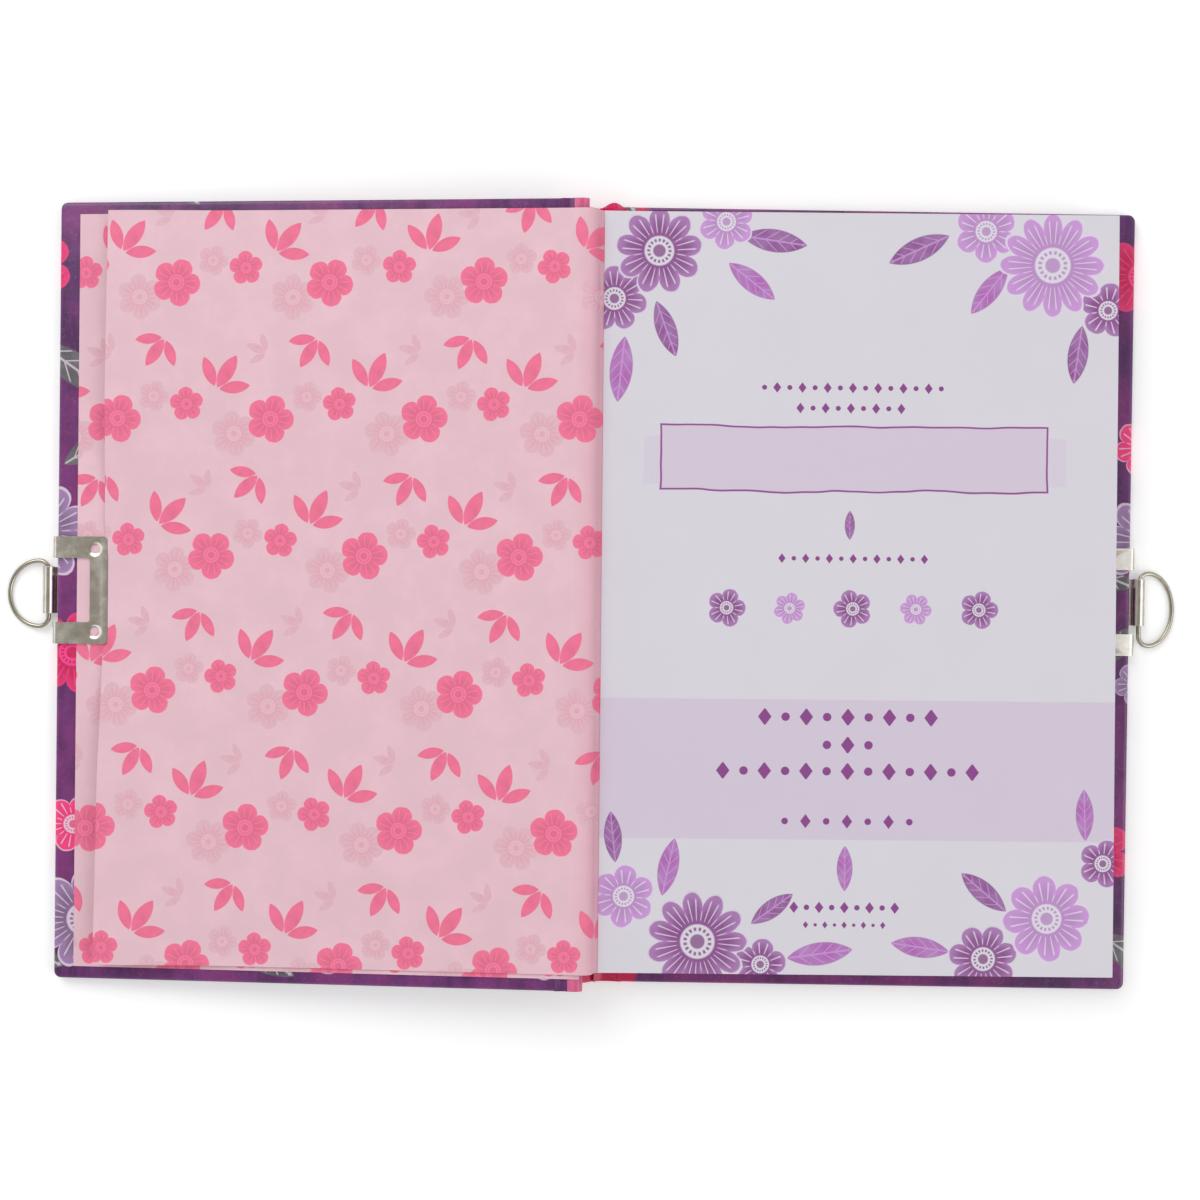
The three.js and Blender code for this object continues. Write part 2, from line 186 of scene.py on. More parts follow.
class DiaryMetalSettings(bpy.types.PropertyGroup):
    nickel: colour("Nickel", "Plating of the lock plates", (0.9, 0.885, 0.855))
    # The rings' nickel is a darker copy of the plates' nickel: painted shade for the darker
    # reflections along the wire
    shaded_ring_nickel: colour("Ring plating", "Thin, grey plating of the rings", (0.69, 0.665, 0.615))
    thickness: length("Plate thickness", "Sheet that the lock plates are pressed from", 0.5 * MM)
    wire: length("Ring wire", "Diameter of the ring wire", 1.3 * MM)
    dish: length("Dimple depth", "Depth of the dish round each hole", 0.22 * MM)
    sides: IntProperty(
        name="Wire sides", description="Faces round the ring wire", default=16, min=6, max=48
    )


class DiaryStudioSettings(bpy.types.PropertyGroup):
    table: colour("Table", "Colour of the table", (0.99, 0.99, 0.99))
    table_glow: number("Table glow", "Whiteness of the table as the camera sees it", 0.2, min=0)
    camera_height: length("Camera height", "Camera above the table", 600 * MM)
    lens: number("Lens", "Focal length in millimetres", 65.2, min=1)
    roll: number("Camera roll", "Turn of the camera", math.radians(0.55), subtype="ANGLE")
    key_power: number("Key light", "Power of the main lamp", 4.6, unit="POWER")
    sky: number("Sky", "Strength of the even light", 0.6, min=0)
    card: colour("Card", "Grey card above the table that the metal mirrors", (0.574, 0.555, 0.52))


# Materials, written as formulas


class Recipe:
    """Adds nodes to the tree of a material, world or node group, its owner. A value is a number, a
    tuple or another node's output."""

    def __init__(self, owner):
        self.owner = self.tree = owner
        if not isinstance(owner, bpy.types.NodeTree):
            owner.use_nodes = True
            self.tree = owner.node_tree
            self.tree.nodes.clear()

    def add(self, kind, inputs=None, **settings):
        node = self.tree.nodes.new(kind)
        for name, value in settings.items():
            setattr(node, name, value)
        for name, value in (inputs or {}).items():
            self.put(node.inputs[name], value)
        return node

    def put(self, socket, value):
        if isinstance(value, bpy.types.NodeSocket):
            self.tree.links.new(value, socket)
        elif socket.type == "RGBA" and len(value) == 3:
            socket.default_value = (*linear(value), 1)
        else:
            socket.default_value = value

    def operate(self, kind, operation, values):
        node = self.add(kind, operation=operation)
        for socket, value in zip(node.inputs, values):
            self.put(socket, value)
        return node.outputs

    def math(self, operation, *values):
        return self.operate("ShaderNodeMath", operation, values)[0]

    def times(self, a, b):
        return self.math("MULTIPLY", a, b)

    def plus(self, a, b):
        return self.math("ADD", a, b)

    def minus(self, a, b):
        return self.math("SUBTRACT", a, b)

    def scaled(self, value, factor, start):
        return self.math("MULTIPLY_ADD", value, factor, start)

    def most(self, a, b):
        return self.math("MAXIMUM", a, b)

    def absolute(self, value):
        return self.math("ABSOLUTE", value)

    def apart(self, a, b):
        return self.absolute(self.minus(a, b))

    def vector(self, operation, *values):
        outputs = self.operate("ShaderNodeVectorMath", operation, values)
        return outputs["Value" if operation in ("LENGTH", "DOT_PRODUCT") else "Vector"]

    def turned(self, vector, angle):
        """The point turned about Z."""
        inputs = {"Vector": vector, "Angle": angle}
        return self.add("ShaderNodeVectorRotate", inputs, rotation_type="Z_AXIS").outputs[0]

    def stretched(self, vector, *factors):
        """The point with each axis times its own factor."""
        return self.vector("MULTIPLY", vector, factors)

    def split(self, vector):
        return self.add("ShaderNodeSeparateXYZ", {"Vector": vector}).outputs

    def join(self, x, y, z=0.0):
        return self.add("ShaderNodeCombineXYZ", {"X": x, "Y": y, "Z": z}).outputs[0]

    def soft(self, value, low, high, floor=0.0, top=1.0):
        inputs = {"Value": value, "From Min": low, "From Max": high, "To Min": floor, "To Max": top}
        node = self.add("ShaderNodeMapRange", inputs, interpolation_type="SMOOTHSTEP")
        return node.outputs[0]

    def mix(self, factor, under, over):
        node = self.add("ShaderNodeMix", data_type="RGBA")
        self.put(node.inputs[0], factor)
        self.put(node.inputs[6], under)
        self.put(node.inputs[7], over)
        return node.outputs[2]

    def choose(self, factor, under, over):
        """One of two vectors: `over` where the factor is 1."""
        node = self.add("ShaderNodeMix", data_type="VECTOR")
        for index, value in ((0, factor), (4, under), (5, over)):
            self.put(node.inputs[index], value)
        return node.outputs[1]

    def noise(self, vector, scale, detail=2.0, roughness=0.5):
        inputs = {"Vector": vector, "Scale": scale, "Detail": detail, "Roughness": roughness}
        return self.add("ShaderNodeTexNoise", inputs).outputs[0]

    def group(self, tree, **inputs):
        node = self.add("ShaderNodeGroup", node_tree=tree)
        for name, value in inputs.items():
            self.put(node.inputs[name.replace("_", " ").capitalize()], value)
        return node.outputs


def linear(rgb):
    return tuple(c / 12.92 if c <= 0.04045 else ((c + 0.055) / 1.055) ** 2.4 for c in rgb)


def shade(rgb, amount):
    return tuple(min(1, c * amount) for c in rgb)


SOCKETS = {"colour": "NodeSocketColor", "vector": "NodeSocketVector", "value": "NodeSocketFloat"}


def new_group(name, inputs, outputs):
    """The recipe of an empty node group with these sockets, and what the group is given."""
    tree = bpy.data.node_groups.new(name, "ShaderNodeTree")
    for label, kind in inputs:
        tree.interface.new_socket(name=label, in_out="INPUT", socket_type=SOCKETS[kind])
    for label, kind in outputs:
        tree.interface.new_socket(name=label, in_out="OUTPUT", socket_type=SOCKETS[kind])
    recipe = Recipe(tree)
    return recipe, recipe.add("NodeGroupInput").outputs


def motif_group(name, values, inks):
    """A new group that paints a motif about the origin over a colour, and where the point lies."""
    sockets = [("Under", "colour"), ("Point", "vector")]
    sockets += [(label, "value") for label in values] + [(label, "colour") for label in inks]
    r, given = new_group(name, sockets, [("Colour", "colour")])
    return r, given, r.split(given["Point"])


def close_group(recipe, **outputs):
    node = recipe.add("NodeGroupOutput")
    for name, value in outputs.items():
        recipe.put(node.inputs[name.capitalize()], value)
    return recipe.tree


def kept_group(name, make):
    return bpy.data.node_groups.get(name) or make(name)


def blossom_group(name):
    """Open flower of radius 1: scalloped petals with veins round a beaded eye."""
    r, given, (x, y, _) = motif_group(name, ["Petals", "Rim"], ["Light", "Dark", "Detail"])
    radius = r.vector("LENGTH", r.join(x, y))
    angle = r.math("ARCTAN2", y, x)
    half_turn = r.times(angle, r.times(given["Petals"], 0.5))
    swell = r.math("POWER", r.absolute(r.math("COSINE", half_turn)), 0.55)
    blot = r.noise(given["Point"], 2.6, 3)
    ragged = r.scaled(blot, 0.09, 0.62)
    edge = r.scaled(swell, 0.32, ragged)
    inside = r.minus(edge, radius)
    petal = r.soft(inside, 0.0, 0.04)
    depth = r.scaled(r.soft(inside, 0.0, 0.5), 0.6, r.times(blot, 0.45))
    result = r.mix(petal, given["Under"], r.mix(depth, given["Light"], given["Dark"]))
    rim = r.soft(r.apart(inside, 0.035), 0.035, 0.02)
    result = r.mix(r.times(rim, given["Rim"]), result, given["Detail"])
    fan = r.absolute(r.math("SINE", r.times(half_turn, 3)))
    vein = r.times(r.soft(fan, 0.93, 0.99), r.soft(radius, 0.36, 0.42))
    vein = r.times(vein, r.soft(inside, 0.14, 0.2))
    result = r.mix(r.times(vein, 0.75), result, given["Detail"])
    eye = r.soft(radius, 0.34, 0.3)
    result = r.mix(r.times(eye, 0.9), result, given["Detail"])
    bead = r.absolute(r.math("SINE", r.times(angle, 8)))
    ring = r.soft(r.apart(radius, 0.23), 0.045, 0.02)
    bead = r.times(r.soft(bead, 0.55, 0.75), ring)
    heart = r.most(bead, r.soft(radius, 0.15, 0.12))
    return close_group(r, colour=r.mix(r.times(heart, 0.85), result, given["Dark"]))


def leaf_shape(r, x, y, width):
    """How far a point lies inside a pointed leaf that runs from -1 to 1 along X."""
    span = r.most(r.minus(1, r.times(x, x)), 0)
    half = r.times(r.math("POWER", span, 0.85), width)
    return r.minus(half, r.absolute(y))


def leaf_group(name):
    """Pointed leaf from -1 to 1 along X with a midrib and slanting veins."""
    r, given, (x, y, _) = motif_group(name, [], ["Light", "Dark", "Detail"])
    inside = leaf_shape(r, x, y, 0.36)
    blot = r.noise(given["Point"], 2.2, 3)
    body = r.mix(r.scaled(blot, 1.6, -0.35), given["Light"], given["Dark"])
    result = r.mix(r.soft(inside, 0.0, 0.035), given["Under"], body)
    slant = r.minus(x, r.times(r.absolute(y), 1.3))
    ribs = r.soft(r.math("SINE", r.times(slant, 17)), 0.86, 0.97)
    rib = r.soft(r.absolute(y), 0.035, 0.015)
    lines = r.times(r.most(ribs, rib), r.soft(inside, 0.04, 0.07))
    return close_group(r, colour=r.mix(r.times(lines, 0.7), result, given["Detail"]))


def fan_group(name):
    """Three leaves spread from one foot at the origin, the middle one along X."""
    r, given, (x, y, _) = motif_group(name, [], ["Light", "Dark"])
    middle = leaf_shape(r, r.scaled(x, 2, -1.1), r.times(y, 2), 0.42)
    side_x, side_y, _ = r.split(r.turned(r.join(x, r.absolute(y)), -math.radians(52)))
    side = leaf_shape(r, r.scaled(side_x, 2.4, -1.2), r.times(side_y, 2.4), 0.42)
    inside = r.most(middle, side)
    blot = r.noise(given["Point"], 3.0, 2)
    body = r.mix(r.scaled(blot, 1.5, -0.3), given["Light"], given["Dark"])
    return close_group(r, colour=r.mix(r.soft(inside, 0.0, 0.06), given["Under"], body))


def lattice_group(name):
    """Repeats a motif: the point in the nearest cell's frame, and a random number for each cell."""
    sockets = [("Point", "vector"), ("Origin", "vector"), ("Pitch", "vector"), ("Shift", "value")]
    sockets += [("Turn", "value"), ("Wobble", "value"), ("Size", "value")]
    r, given = new_group(name, sockets, [("Point", "vector"), ("Chance", "value")])
    cell = r.vector("DIVIDE", r.vector("SUBTRACT", given["Point"], given["Origin"]), given["Pitch"])
    u, v, _ = r.split(cell)
    row = r.math("ROUND", v)
    along = r.minus(u, r.times(row, given["Shift"]))
    column = r.math("ROUND", along)
    seed = {"Vector": r.join(column, row)}
    chance = r.add("ShaderNodeTexWhiteNoise", seed, noise_dimensions="2D").outputs["Value"]
    local = r.join(r.minus(along, column), r.minus(v, row))
    local = r.vector("MULTIPLY", local, given["Pitch"])
    turn = r.scaled(r.minus(chance, 0.5), given["Wobble"], given["Turn"])
    turned = r.turned(local, turn)
    size = r.math("DIVIDE", 1, given["Size"])
    return close_group(r, point=r.vector("MULTIPLY", turned, r.join(size, size, 0)), chance=chance)


def beads_group(name):
    """A short row of lozenges and dots in turn, centred on the origin along X, in millimetres."""
    r, given, (x, y, _) = motif_group(name, ["Half", "Pitch", "Size"], ["Ink"])
    step = r.math("DIVIDE", x, given["Pitch"])
    index = r.math("ROUND", step)
    across = r.times(r.minus(step, index), given["Pitch"])
    dot = r.vector("LENGTH", r.join(across, y))
    lozenge = r.plus(r.absolute(across), r.times(r.absolute(y), 0.75))
    even = r.times(r.math("ROUND", r.times(index, 0.5)), 2)
    odd = r.apart(index, even)
    reach = r.add("ShaderNodeMix", {"Factor": odd, "A": lozenge, "B": r.times(dot, 1.6)}).outputs[0]
    ink = r.soft(r.minus(given["Size"], reach), 0.0, 0.14)
    middle = r.absolute(r.times(index, given["Pitch"]))
    ink = r.times(ink, r.math("LESS_THAN", middle, given["Half"]))
    return close_group(r, colour=r.mix(ink, given["Under"], given["Ink"]))


class Print:
    """A printed sheet: a colour to which motifs are added one over another, in millimetres."""

    WOBBLE = 0.6  # how far motifs of one kind are turned apart, in radians

    def __init__(self, recipe, point, ground, pitch=(1, 1), lean=0.0):
        self.r = recipe
        self.point = point
        self.colour = ground
        self.pitch, self.lean = pitch, lean

    def lattice(self, origin, turn, size):
        """The point in the frame of the nearest of the motifs, which repeat by pitch and lean."""
        values = {"origin": (*origin, 0), "pitch": (*self.pitch, 1), "shift": self.lean}
        values.update(turn=math.radians(turn), wobble=self.WOBBLE, size=size)
        tree = kept_group("Repeat", lattice_group)
        return self.r.group(tree, point=self.point, **values)["Point"]

    def motif(self, name, make, point, **values):
        tree = kept_group(name, make)
        self.colour = self.r.group(tree, under=self.colour, point=point, **values)[0]

    def blossom(self, point, petals, light, dark, detail, rim=0.0):
        inks = {"light": light, "dark": dark, "detail": detail}
        self.motif("Blossom", blossom_group, point, petals=petals, rim=rim, **inks)

    def leaf(self, point, light, dark, detail):
        self.motif("Leaf", leaf_group, point, light=light, dark=dark, detail=detail)

    def fan(self, point, light, dark):
        self.motif("Leaf fan", fan_group, point, light=light, dark=dark)

    def wash(self, mask, ink):
        self.colour = self.r.mix(mask, self.colour, ink)


def new_material(name, source="Object"):
    """The recipe of an empty material, and the point on the print in millimetres: from the
    sheet's own UV map, or from the object's coordinates."""
    r = Recipe(bpy.data.materials.new(name))
    coordinates = r.add("ShaderNodeTexCoord").outputs[source]
    return r, r.stretched(coordinates, 1000, 1000, 1000)


def finish_material(r, base, roughness, bump=None, distance=0.1 * MM, glow=None, **constants):
    """Adds the shader and returns the material. Constants are set on the shader's own sockets."""
    shader = r.add("ShaderNodeBsdfPrincipled", {"Base Color": base, "Roughness": roughness})
    for name, value in constants.items():
        shader.inputs[name.replace("_", " ")].default_value = value
    if bump is not None:
        relief = r.add("ShaderNodeBump", {"Height": bump, "Strength": 1.0, "Distance": distance})
        r.put(shader.inputs["Normal"], relief.outputs[0])
    if glow is not None:
        shader.inputs["Emission Color"].default_value = (1, 1, 1, 1)
        r.put(shader.inputs["Emission Strength"], glow)
    output = r.add("ShaderNodeOutputMaterial")
    r.put(output.inputs["Surface"], shader.outputs[0])
    return r.owner


def seen_plainly(r):
    """1 for rays that show a thing to the camera, straight, mirrored or through glass."""
    rays = r.add("ShaderNodeLightPath").outputs
    beyond = r.most(rays["Is Glossy Ray"], rays["Is Transmission Ray"])
    return r.most(rays["Is Camera Ray"], beyond)


def paper_tooth(r, point):
    """Fine felt of uncoated paper, as a height."""
    return r.plus(r.noise(point, 1.6, 4, 0.65), r.times(r.noise(point, 0.12, 2), 1.5))


def endpaper_material(name, source, papers, backing=False):
    """Pink endpaper: faint blossoms under strong ones, with fans of leaves, in a slanted repeat."""
    r, point = new_material(name, source)
    mottle = r.noise(point, 0.09, 4, 0.6)
    low, high = shade(papers.endpaper, 0.985), shade(papers.endpaper, 1.012)
    ground = r.mix(r.soft(mottle, 0.35, 0.7), low, high)
    # Painted shade: the endpaper darkens within 9 mm of the gutter, where the fold turns down into
    # it
    gutter = r.soft(r.absolute(r.split(point)[0]), 9, 0, 0, 0.6)
    ground = r.mix(gutter, ground, (0.89, 0.66, 0.72))
    sheet = Print(r, point, ground, pitch=(42, 37), lean=0.38)
    ghost, pale, rose = papers.ghost, shade(papers.rose, 1.07), papers.rose
    faint, dark, light = shade(papers.endpaper, 0.97), shade(rose, 0.96), shade(rose, 1.12)
    if not backing:
        for origin, turn, size, petals in (((10, 5), 20, 6.4, 6), ((30, 15), 70, 4.4, 5)):
            place = sheet.lattice(origin, turn, size)
            sheet.blossom(place, petals, faint, ghost, papers.endpaper)
        sheet.fan(sheet.lattice((19, 27), 200, 6.0), faint, ghost)
        for origin, turn, size in (((5, 17), -60, 10.4), ((33, 31), 120, 9.0)):
            sheet.fan(sheet.lattice(origin, turn, size), pale, shade(rose, 0.97))
        for origin, turn, size in (((20, 9), 0, 6.8), ((39, 13), 45, 4.8)):
            sheet.blossom(sheet.lattice(origin, turn, size), 5, pale, dark, light)
    tooth = paper_tooth(r, point)
    roughness = r.soft(mottle, 0.3, 0.8, 0.62, 0.74)
    return finish_material(r, sheet.colour, roughness, tooth, 0.02 * MM, Specular_IOR_Level=0.3)


# Title page, in millimetres from the gutter and from the middle of the page
PAGE_BAND = (-66.4, -28.4)
NAME_BOX = (15.5, 120.5, 27.2, 45.4)
ROW_REACH = 2.2
# Rows of beads: place, half length, pitch, size
BEAD_ROWS = [
    ((67.5, 55.5), 27, 3.4, 1.15), ((67, 50), 16, 3.4, 1.15), ((68, 9.5), 20, 3.2, 1.05),
    ((67, -33.2), 27, 5.6, 1.9), ((67, -40.7), 11, 5.6, 1.9), ((67, -47.8), 38, 5.6, 1.9),
    ((67, -61.3), 18, 5.6, 1.5), ((66.5, -84.5), 17, 3.4, 1.25), ((66.5, -89.2), 12, 2.6, 0.8),
]
# Flowers of the title page: place, turn, radius, petals
LOWER_BLOSSOMS = [
    ((3, 79), 40, 9.5, 7), ((33, 100), 25, 8, 6), ((103, 98), 30, 9, 6), ((136, 77), 10, 8, 5),
    ((7, -82), 25, 9, 6), ((44, -100), 10, 7.5, 5), ((104, -98), 15, 10, 7), ((136, -72), 0, 7, 5),
]
UPPER_BLOSSOMS = [
    ((15, 92), 10, 12.5, 9), ((121, 89), 0, 15, 12), ((27, -94), 0, 14.5, 11),
    ((121, -87), 5, 12.5, 8),
    *[((34 + 17 * i, -4), 18 * i, 5.6 - i % 2, 5 + i % 2) for i in range(5)],
]
# Leaves of the title page: place, turn, half length
PAGE_LEAVES = [
    ((46, 95), -8, 9), ((40, 84), -38, 8), ((17, 71), -70, 8), ((5, 60), -96, 9),
    ((85, 93), 205, 9), ((104, 82), 232, 8), ((128, 65), 262, 8), ((60, -97), 8, 9),
    ((47, -85), 36, 7), ((19, -74), 78, 8), ((4, -66), 96, 7), ((87, -95), 172, 8),
    ((104, -80), 140, 8), ((131, -59), 92, 7), ((67, 18.5), 90, 4), ((66.5, -74), 90, 6.2),
]


def nearest_blossom(r, point, blossoms):
    """The point in the frame of the flower that it lies in, and that flower's number of petals."""
    centre, numbers = (900, 900, 0), (1, 5, 0)
    for where, turn, size, petals in blossoms:
        away = r.vector("LENGTH", r.vector("SUBTRACT", point, (*where, 0)))
        inside = r.math("LESS_THAN", away, size)
        centre = r.choose(inside, centre, (*where, 0))
        numbers = r.choose(inside, numbers, (size, petals, -math.radians(turn)))
    size, petals, turn = r.split(numbers)
    moved = r.vector("DIVIDE", r.vector("SUBTRACT", point, centre), r.join(size, size, 1))
    return r.turned(moved, turn), petals


def deepest_leaf(r, point, leaves):
    """The point in the frame of the leaf that it lies deepest in; Z is 4 for every other leaf."""
    place, best = (9, 9, 0), -9.0
    for i, (where, turn, half) in enumerate(leaves):
        c, s = math.cos(math.radians(turn)) / half, math.sin(math.radians(turn)) / half
        x = r.minus(r.vector("DOT_PRODUCT", point, (c, s, 0)), where[0] * c + where[1] * s)
        y = r.minus(r.vector("DOT_PRODUCT", point, (-s, c, 0)), where[1] * c - where[0] * s)
        width = r.scaled(r.times(x, x), -0.42, 0.42)
        depth = r.minus(width, r.absolute(y))
        place = r.choose(r.math("GREATER_THAN", depth, best), place, r.join(x, y, 4.0 * (i % 2)))
        best = r.most(best, depth)
    return place


def nearest_row(r, point, rows):
    """The point from the middle of its row of beads, and that row's half length, pitch and size."""
    y = r.split(point)[1]
    centre, numbers = (0, 900, 0), (1, 1, 0)
    for where, half, pitch, size in rows:
        near = r.math("LESS_THAN", r.apart(y, where[1]), ROW_REACH)
        centre = r.choose(near, centre, (*where, 0))
        numbers = r.choose(near, numbers, (half, pitch, size))
    return r.vector("SUBTRACT", point, centre), r.split(numbers)


def box_mask(r, point, low_x, high_x, low_y, high_y, edge):
    """1 inside a box, in millimetres, softened over `edge`."""
    x, y, _ = r.split(point)
    across, up = [
        r.minus((high - low) / 2, r.apart(place, (low + high) / 2))
        for place, low, high in ((x, low_x, high_x), (y, low_y, high_y))
    ]
    return r.soft(r.math("MINIMUM", across, up), 0, edge)


def hand_drawn(r, point, amount):
    """The point moved a little by noise, as a line drawn by hand wanders."""
    aside = r.vector("ADD", point, (31, 47, 0))
    sway = [r.scaled(r.noise(p, 0.045, 2), amount, -amount / 2) for p in (point, aside)]
    return r.vector("ADD", point, r.join(*sway))


def title_page_material(papers):
    """Title page: flowers in the corners, a name box, a lilac band and rows of beads."""
    r, point = new_material("title_page_print", "UV")
    mottle = r.noise(point, 0.05, 3)
    ground = r.mix(mottle, shade(papers.page, 0.99), shade(papers.page, 1.01))
    sheet = Print(r, point, ground)
    violet, mauve, white = papers.violet, papers.mauve, shade(papers.page, 1.04)
    pale = shade(papers.mauve, 1.14)
    band = box_mask(r, point, -50, 250, *PAGE_BAND, 0.3)
    sheet.wash(r.times(band, r.soft(mottle, 0.1, 0.9, 0.86, 1.0)), shade(papers.wash, 0.99))
    place = deepest_leaf(r, point, PAGE_LEAVES)
    tone = r.times(r.split(place)[2], 0.25)
    light, dark = r.mix(tone, shade(mauve, 0.92), mauve), r.mix(tone, violet, shade(violet, 1.3))
    sheet.leaf(place, light, dark, pale)
    for blossoms in (LOWER_BLOSSOMS, UPPER_BLOSSOMS):
        place, petals = nearest_blossom(r, point, blossoms)
        odd = r.math("MODULO", petals, 2)
        light, dark = r.mix(odd, pale, mauve), r.mix(odd, mauve, violet)
        sheet.blossom(place, petals, light, dark, white, rim=0.75)
    low_x, high_x, low_y, high_y = NAME_BOX
    drawn = hand_drawn(r, point, 2.4)
    brush = box_mask(r, drawn, low_x - 4.5, high_x + 5, low_y + 1.5, high_y - 3, 0.5)
    sheet.wash(r.times(brush, 0.6), papers.wash)
    for line, ink in ((0, shade(violet, 1.12)), (0.5, shade(papers.wash, 0.995))):
        corners = low_x + line, high_x - line, low_y + line, high_y - line
        sheet.wash(box_mask(r, drawn, *corners, 0.15), ink)
    place, (half, pitch, size) = nearest_row(r, point, BEAD_ROWS)
    ink = shade(violet, 1.05)
    sheet.motif("Beads", beads_group, place, half=half, pitch=pitch, size=size, ink=ink)
    tooth = paper_tooth(r, point)
    roughness = r.soft(mottle, 0.2, 0.8, 0.6, 0.7)
    return finish_material(r, sheet.colour, roughness, tooth, 0.02 * MM, Specular_IOR_Level=0.3)


def cover_material(covers):
    """Film-laminated cover print: large flowers and grey leaves, crimson about the spine."""
    r, point = new_material("laminated_print")
    mottle = r.noise(point, 0.05, 4, 0.6)
    brush = r.noise(r.stretched(point, 0.5, 0.08, 0.5), 1.0, 3)
    base = r.mix(r.soft(mottle, 0.35, 0.65), shade(covers.purple, 0.84), (0.52, 0.22, 0.47))
    base = r.mix(r.times(r.soft(brush, 0.35, 0.75), 0.45), base, shade(covers.purple, 1.25))
    from_spine = r.apart(r.split(point)[0], 4.5)
    wander = r.scaled(mottle, -14, from_spine)
    base = r.mix(r.soft(wander, 3, 2), base, covers.crimson)
    x, y, z = r.split(point)
    unrolled = r.join(r.scaled(z, -0.6, x), y)  # keeps the flowers round on the upright spine
    sheet = Print(r, unrolled, base, pitch=(61, 53), lean=0.4)
    crimson, pink, lilac = covers.crimson, covers.hot_pink, covers.lilac
    white, leaf = (0.9, 0.84, 0.9), covers.leaf
    for origin, turn, size, light, dark in (
        ((14, 8), 35, 12, shade(leaf, 1.15), shade(leaf, 0.75)),
        ((44, 40), -50, 10, shade(leaf, 1.15), shade(leaf, 0.75)),
        ((52, 14), 80, 8, lilac, shade(covers.purple, 1.3)),
    ):
        sheet.leaf(sheet.lattice(origin, turn, size), light, dark, white)
    for origin, turn, size, petals, rim, *inks in (
        ((30, 16), 0, 14, 9, 0.8, lilac, shade(lilac, 0.72), white),
        ((2, 36), 20, 11.5, 7, 0.3, pink, crimson, shade(pink, 1.2)),
        ((27, 42), 60, 8, 6, 0.6, shade(pink, 1.1), pink, white),
        ((50, 30), 10, 6, 5, 0.5, lilac, shade(lilac, 0.75), white),
    ):
        sheet.blossom(sheet.lattice(origin, turn, size), petals, *inks, rim=rim)
    scuff = r.soft(r.noise(point, 0.7, 5, 0.75), 0.45, 0.75)
    roughness = r.scaled(scuff, 0.16, 0.2)
    ripple = r.noise(point, 0.25, 2)
    return finish_material(r, sheet.colour, roughness, ripple, 0.06 * MM, Specular_IOR_Level=0.5)


def laminate_material(name, ink):
    """Plain laminated joint paper with a brush-painted variation along it."""
    r, point = new_material(name)
    streak = r.noise(r.stretched(point, 0.5, 0.06, 0.5), 1.0, 3)
    base = r.mix(r.soft(streak, 0.35, 0.7), shade(ink, 0.9), shade(ink, 1.08))
    fold = r.noise(r.stretched(point, 0.9, 0.15, 0.9), 1.0, 3)
    roughness = r.soft(streak, 0.3, 0.8, 0.22, 0.36)
    return finish_material(r, base, roughness, fold, 0.15 * MM, Specular_IOR_Level=0.5)


LEAF_PITCH = 0.105  # thickness of one leaf as its edge shows, in millimetres


def page_edge_material(papers):
    """Cut edges of the leaves: fine lines one above another, each leaf a shade of its own."""
    r, point = new_material("page_stock_edges")
    z = r.split(point)[2]
    wave = r.times(r.noise(r.stretched(point, 0.02, 0.02, 0.0), 1.0, 2), 0.5)
    leaf = r.math("DIVIDE", r.plus(z, wave), LEAF_PITCH)
    number = r.math("FLOOR", leaf)
    tone = r.add("ShaderNodeTexWhiteNoise", {"W": number}, noise_dimensions="1D").outputs["Value"]
    gap = r.soft(r.apart(r.math("FRACT", leaf), 0.5), 0.36, 0.5)
    normal = r.add("ShaderNodeNewGeometry").outputs["Normal"]
    flat = r.soft(r.absolute(r.split(normal)[2]), 0.6, 0.8)
    sides = r.minus(1, flat)
    stock = r.mix(r.times(tone, sides), shade(papers.stock, 0.96), shade(papers.stock, 1.03))
    # Painted shade: the gap between each two leaves is darkened on the upright sides; the same gap
    # is set lower in the relief
    base = r.mix(r.times(r.times(gap, sides), 0.55), stock, shade(papers.stock, 0.62))
    height = r.times(r.minus(tone, gap), sides)
    roughness = r.soft(r.noise(point, 0.4, 3), 0.3, 0.7, 0.68, 0.8)
    return finish_material(r, base, roughness, height, 0.05 * MM, Specular_IOR_Level=0.25)


def board_material():
    """Grey board, made from pressed waste paper with dark and light flecks."""
    r, point = new_material("grey_board")
    fleck = r.noise(point, 1.4, 5, 0.7)
    base = r.mix(r.soft(fleck, 0.35, 0.65), (0.5, 0.48, 0.45), (0.66, 0.64, 0.6))
    roughness = r.soft(fleck, 0.3, 0.7, 0.8, 0.92)
    return finish_material(r, base, roughness, fleck, 0.08 * MM, Specular_IOR_Level=0.2)


def woven_material(name, ground, scale):
    """Open woven cloth: two sets of threads."""
    r, point = new_material(name)
    x, y, z = r.split(point)
    warp = r.math("SINE", r.times(r.plus(x, z), scale))
    weft = r.math("SINE", r.times(y, scale))
    weave = r.most(warp, weft)
    base = r.mix(r.soft(weave, 0.1, 0.8), shade(ground, 0.72), ground)
    roughness = r.soft(weave, 0, 1, 0.85, 0.95)
    return finish_material(r, base, roughness, weave, 0.1 * MM, Specular_IOR_Level=0.2)


def nickel_material(name, plating):
    """Nickel plating, drawn lengthwise, with fine scratches and a duller bloom in places."""
    r, point = new_material(name)
    drawn = r.noise(r.stretched(point, 9.0, 0.7, 9.0), 1.0, 4, 0.6)
    bloom = r.noise(point, 0.35, 4, 0.6)
    pits = r.soft(r.noise(point, 4.5, 3, 0.7), 0.64, 0.72)
    base = r.mix(r.soft(bloom, 0.35, 0.7), shade(plating, 0.97), shade(plating, 1.03))
    base = r.mix(r.times(pits, 0.16), base, shade(plating, 0.7))
    roughness = r.scaled(drawn, 0.12, r.soft(bloom, 0.3, 0.75, 0.13, 0.18))
    relief = r.plus(drawn, r.times(pits, -0.5))
    return finish_material(r, base, roughness, relief, 0.0013 * MM, Metallic=1.0)


# Meshes


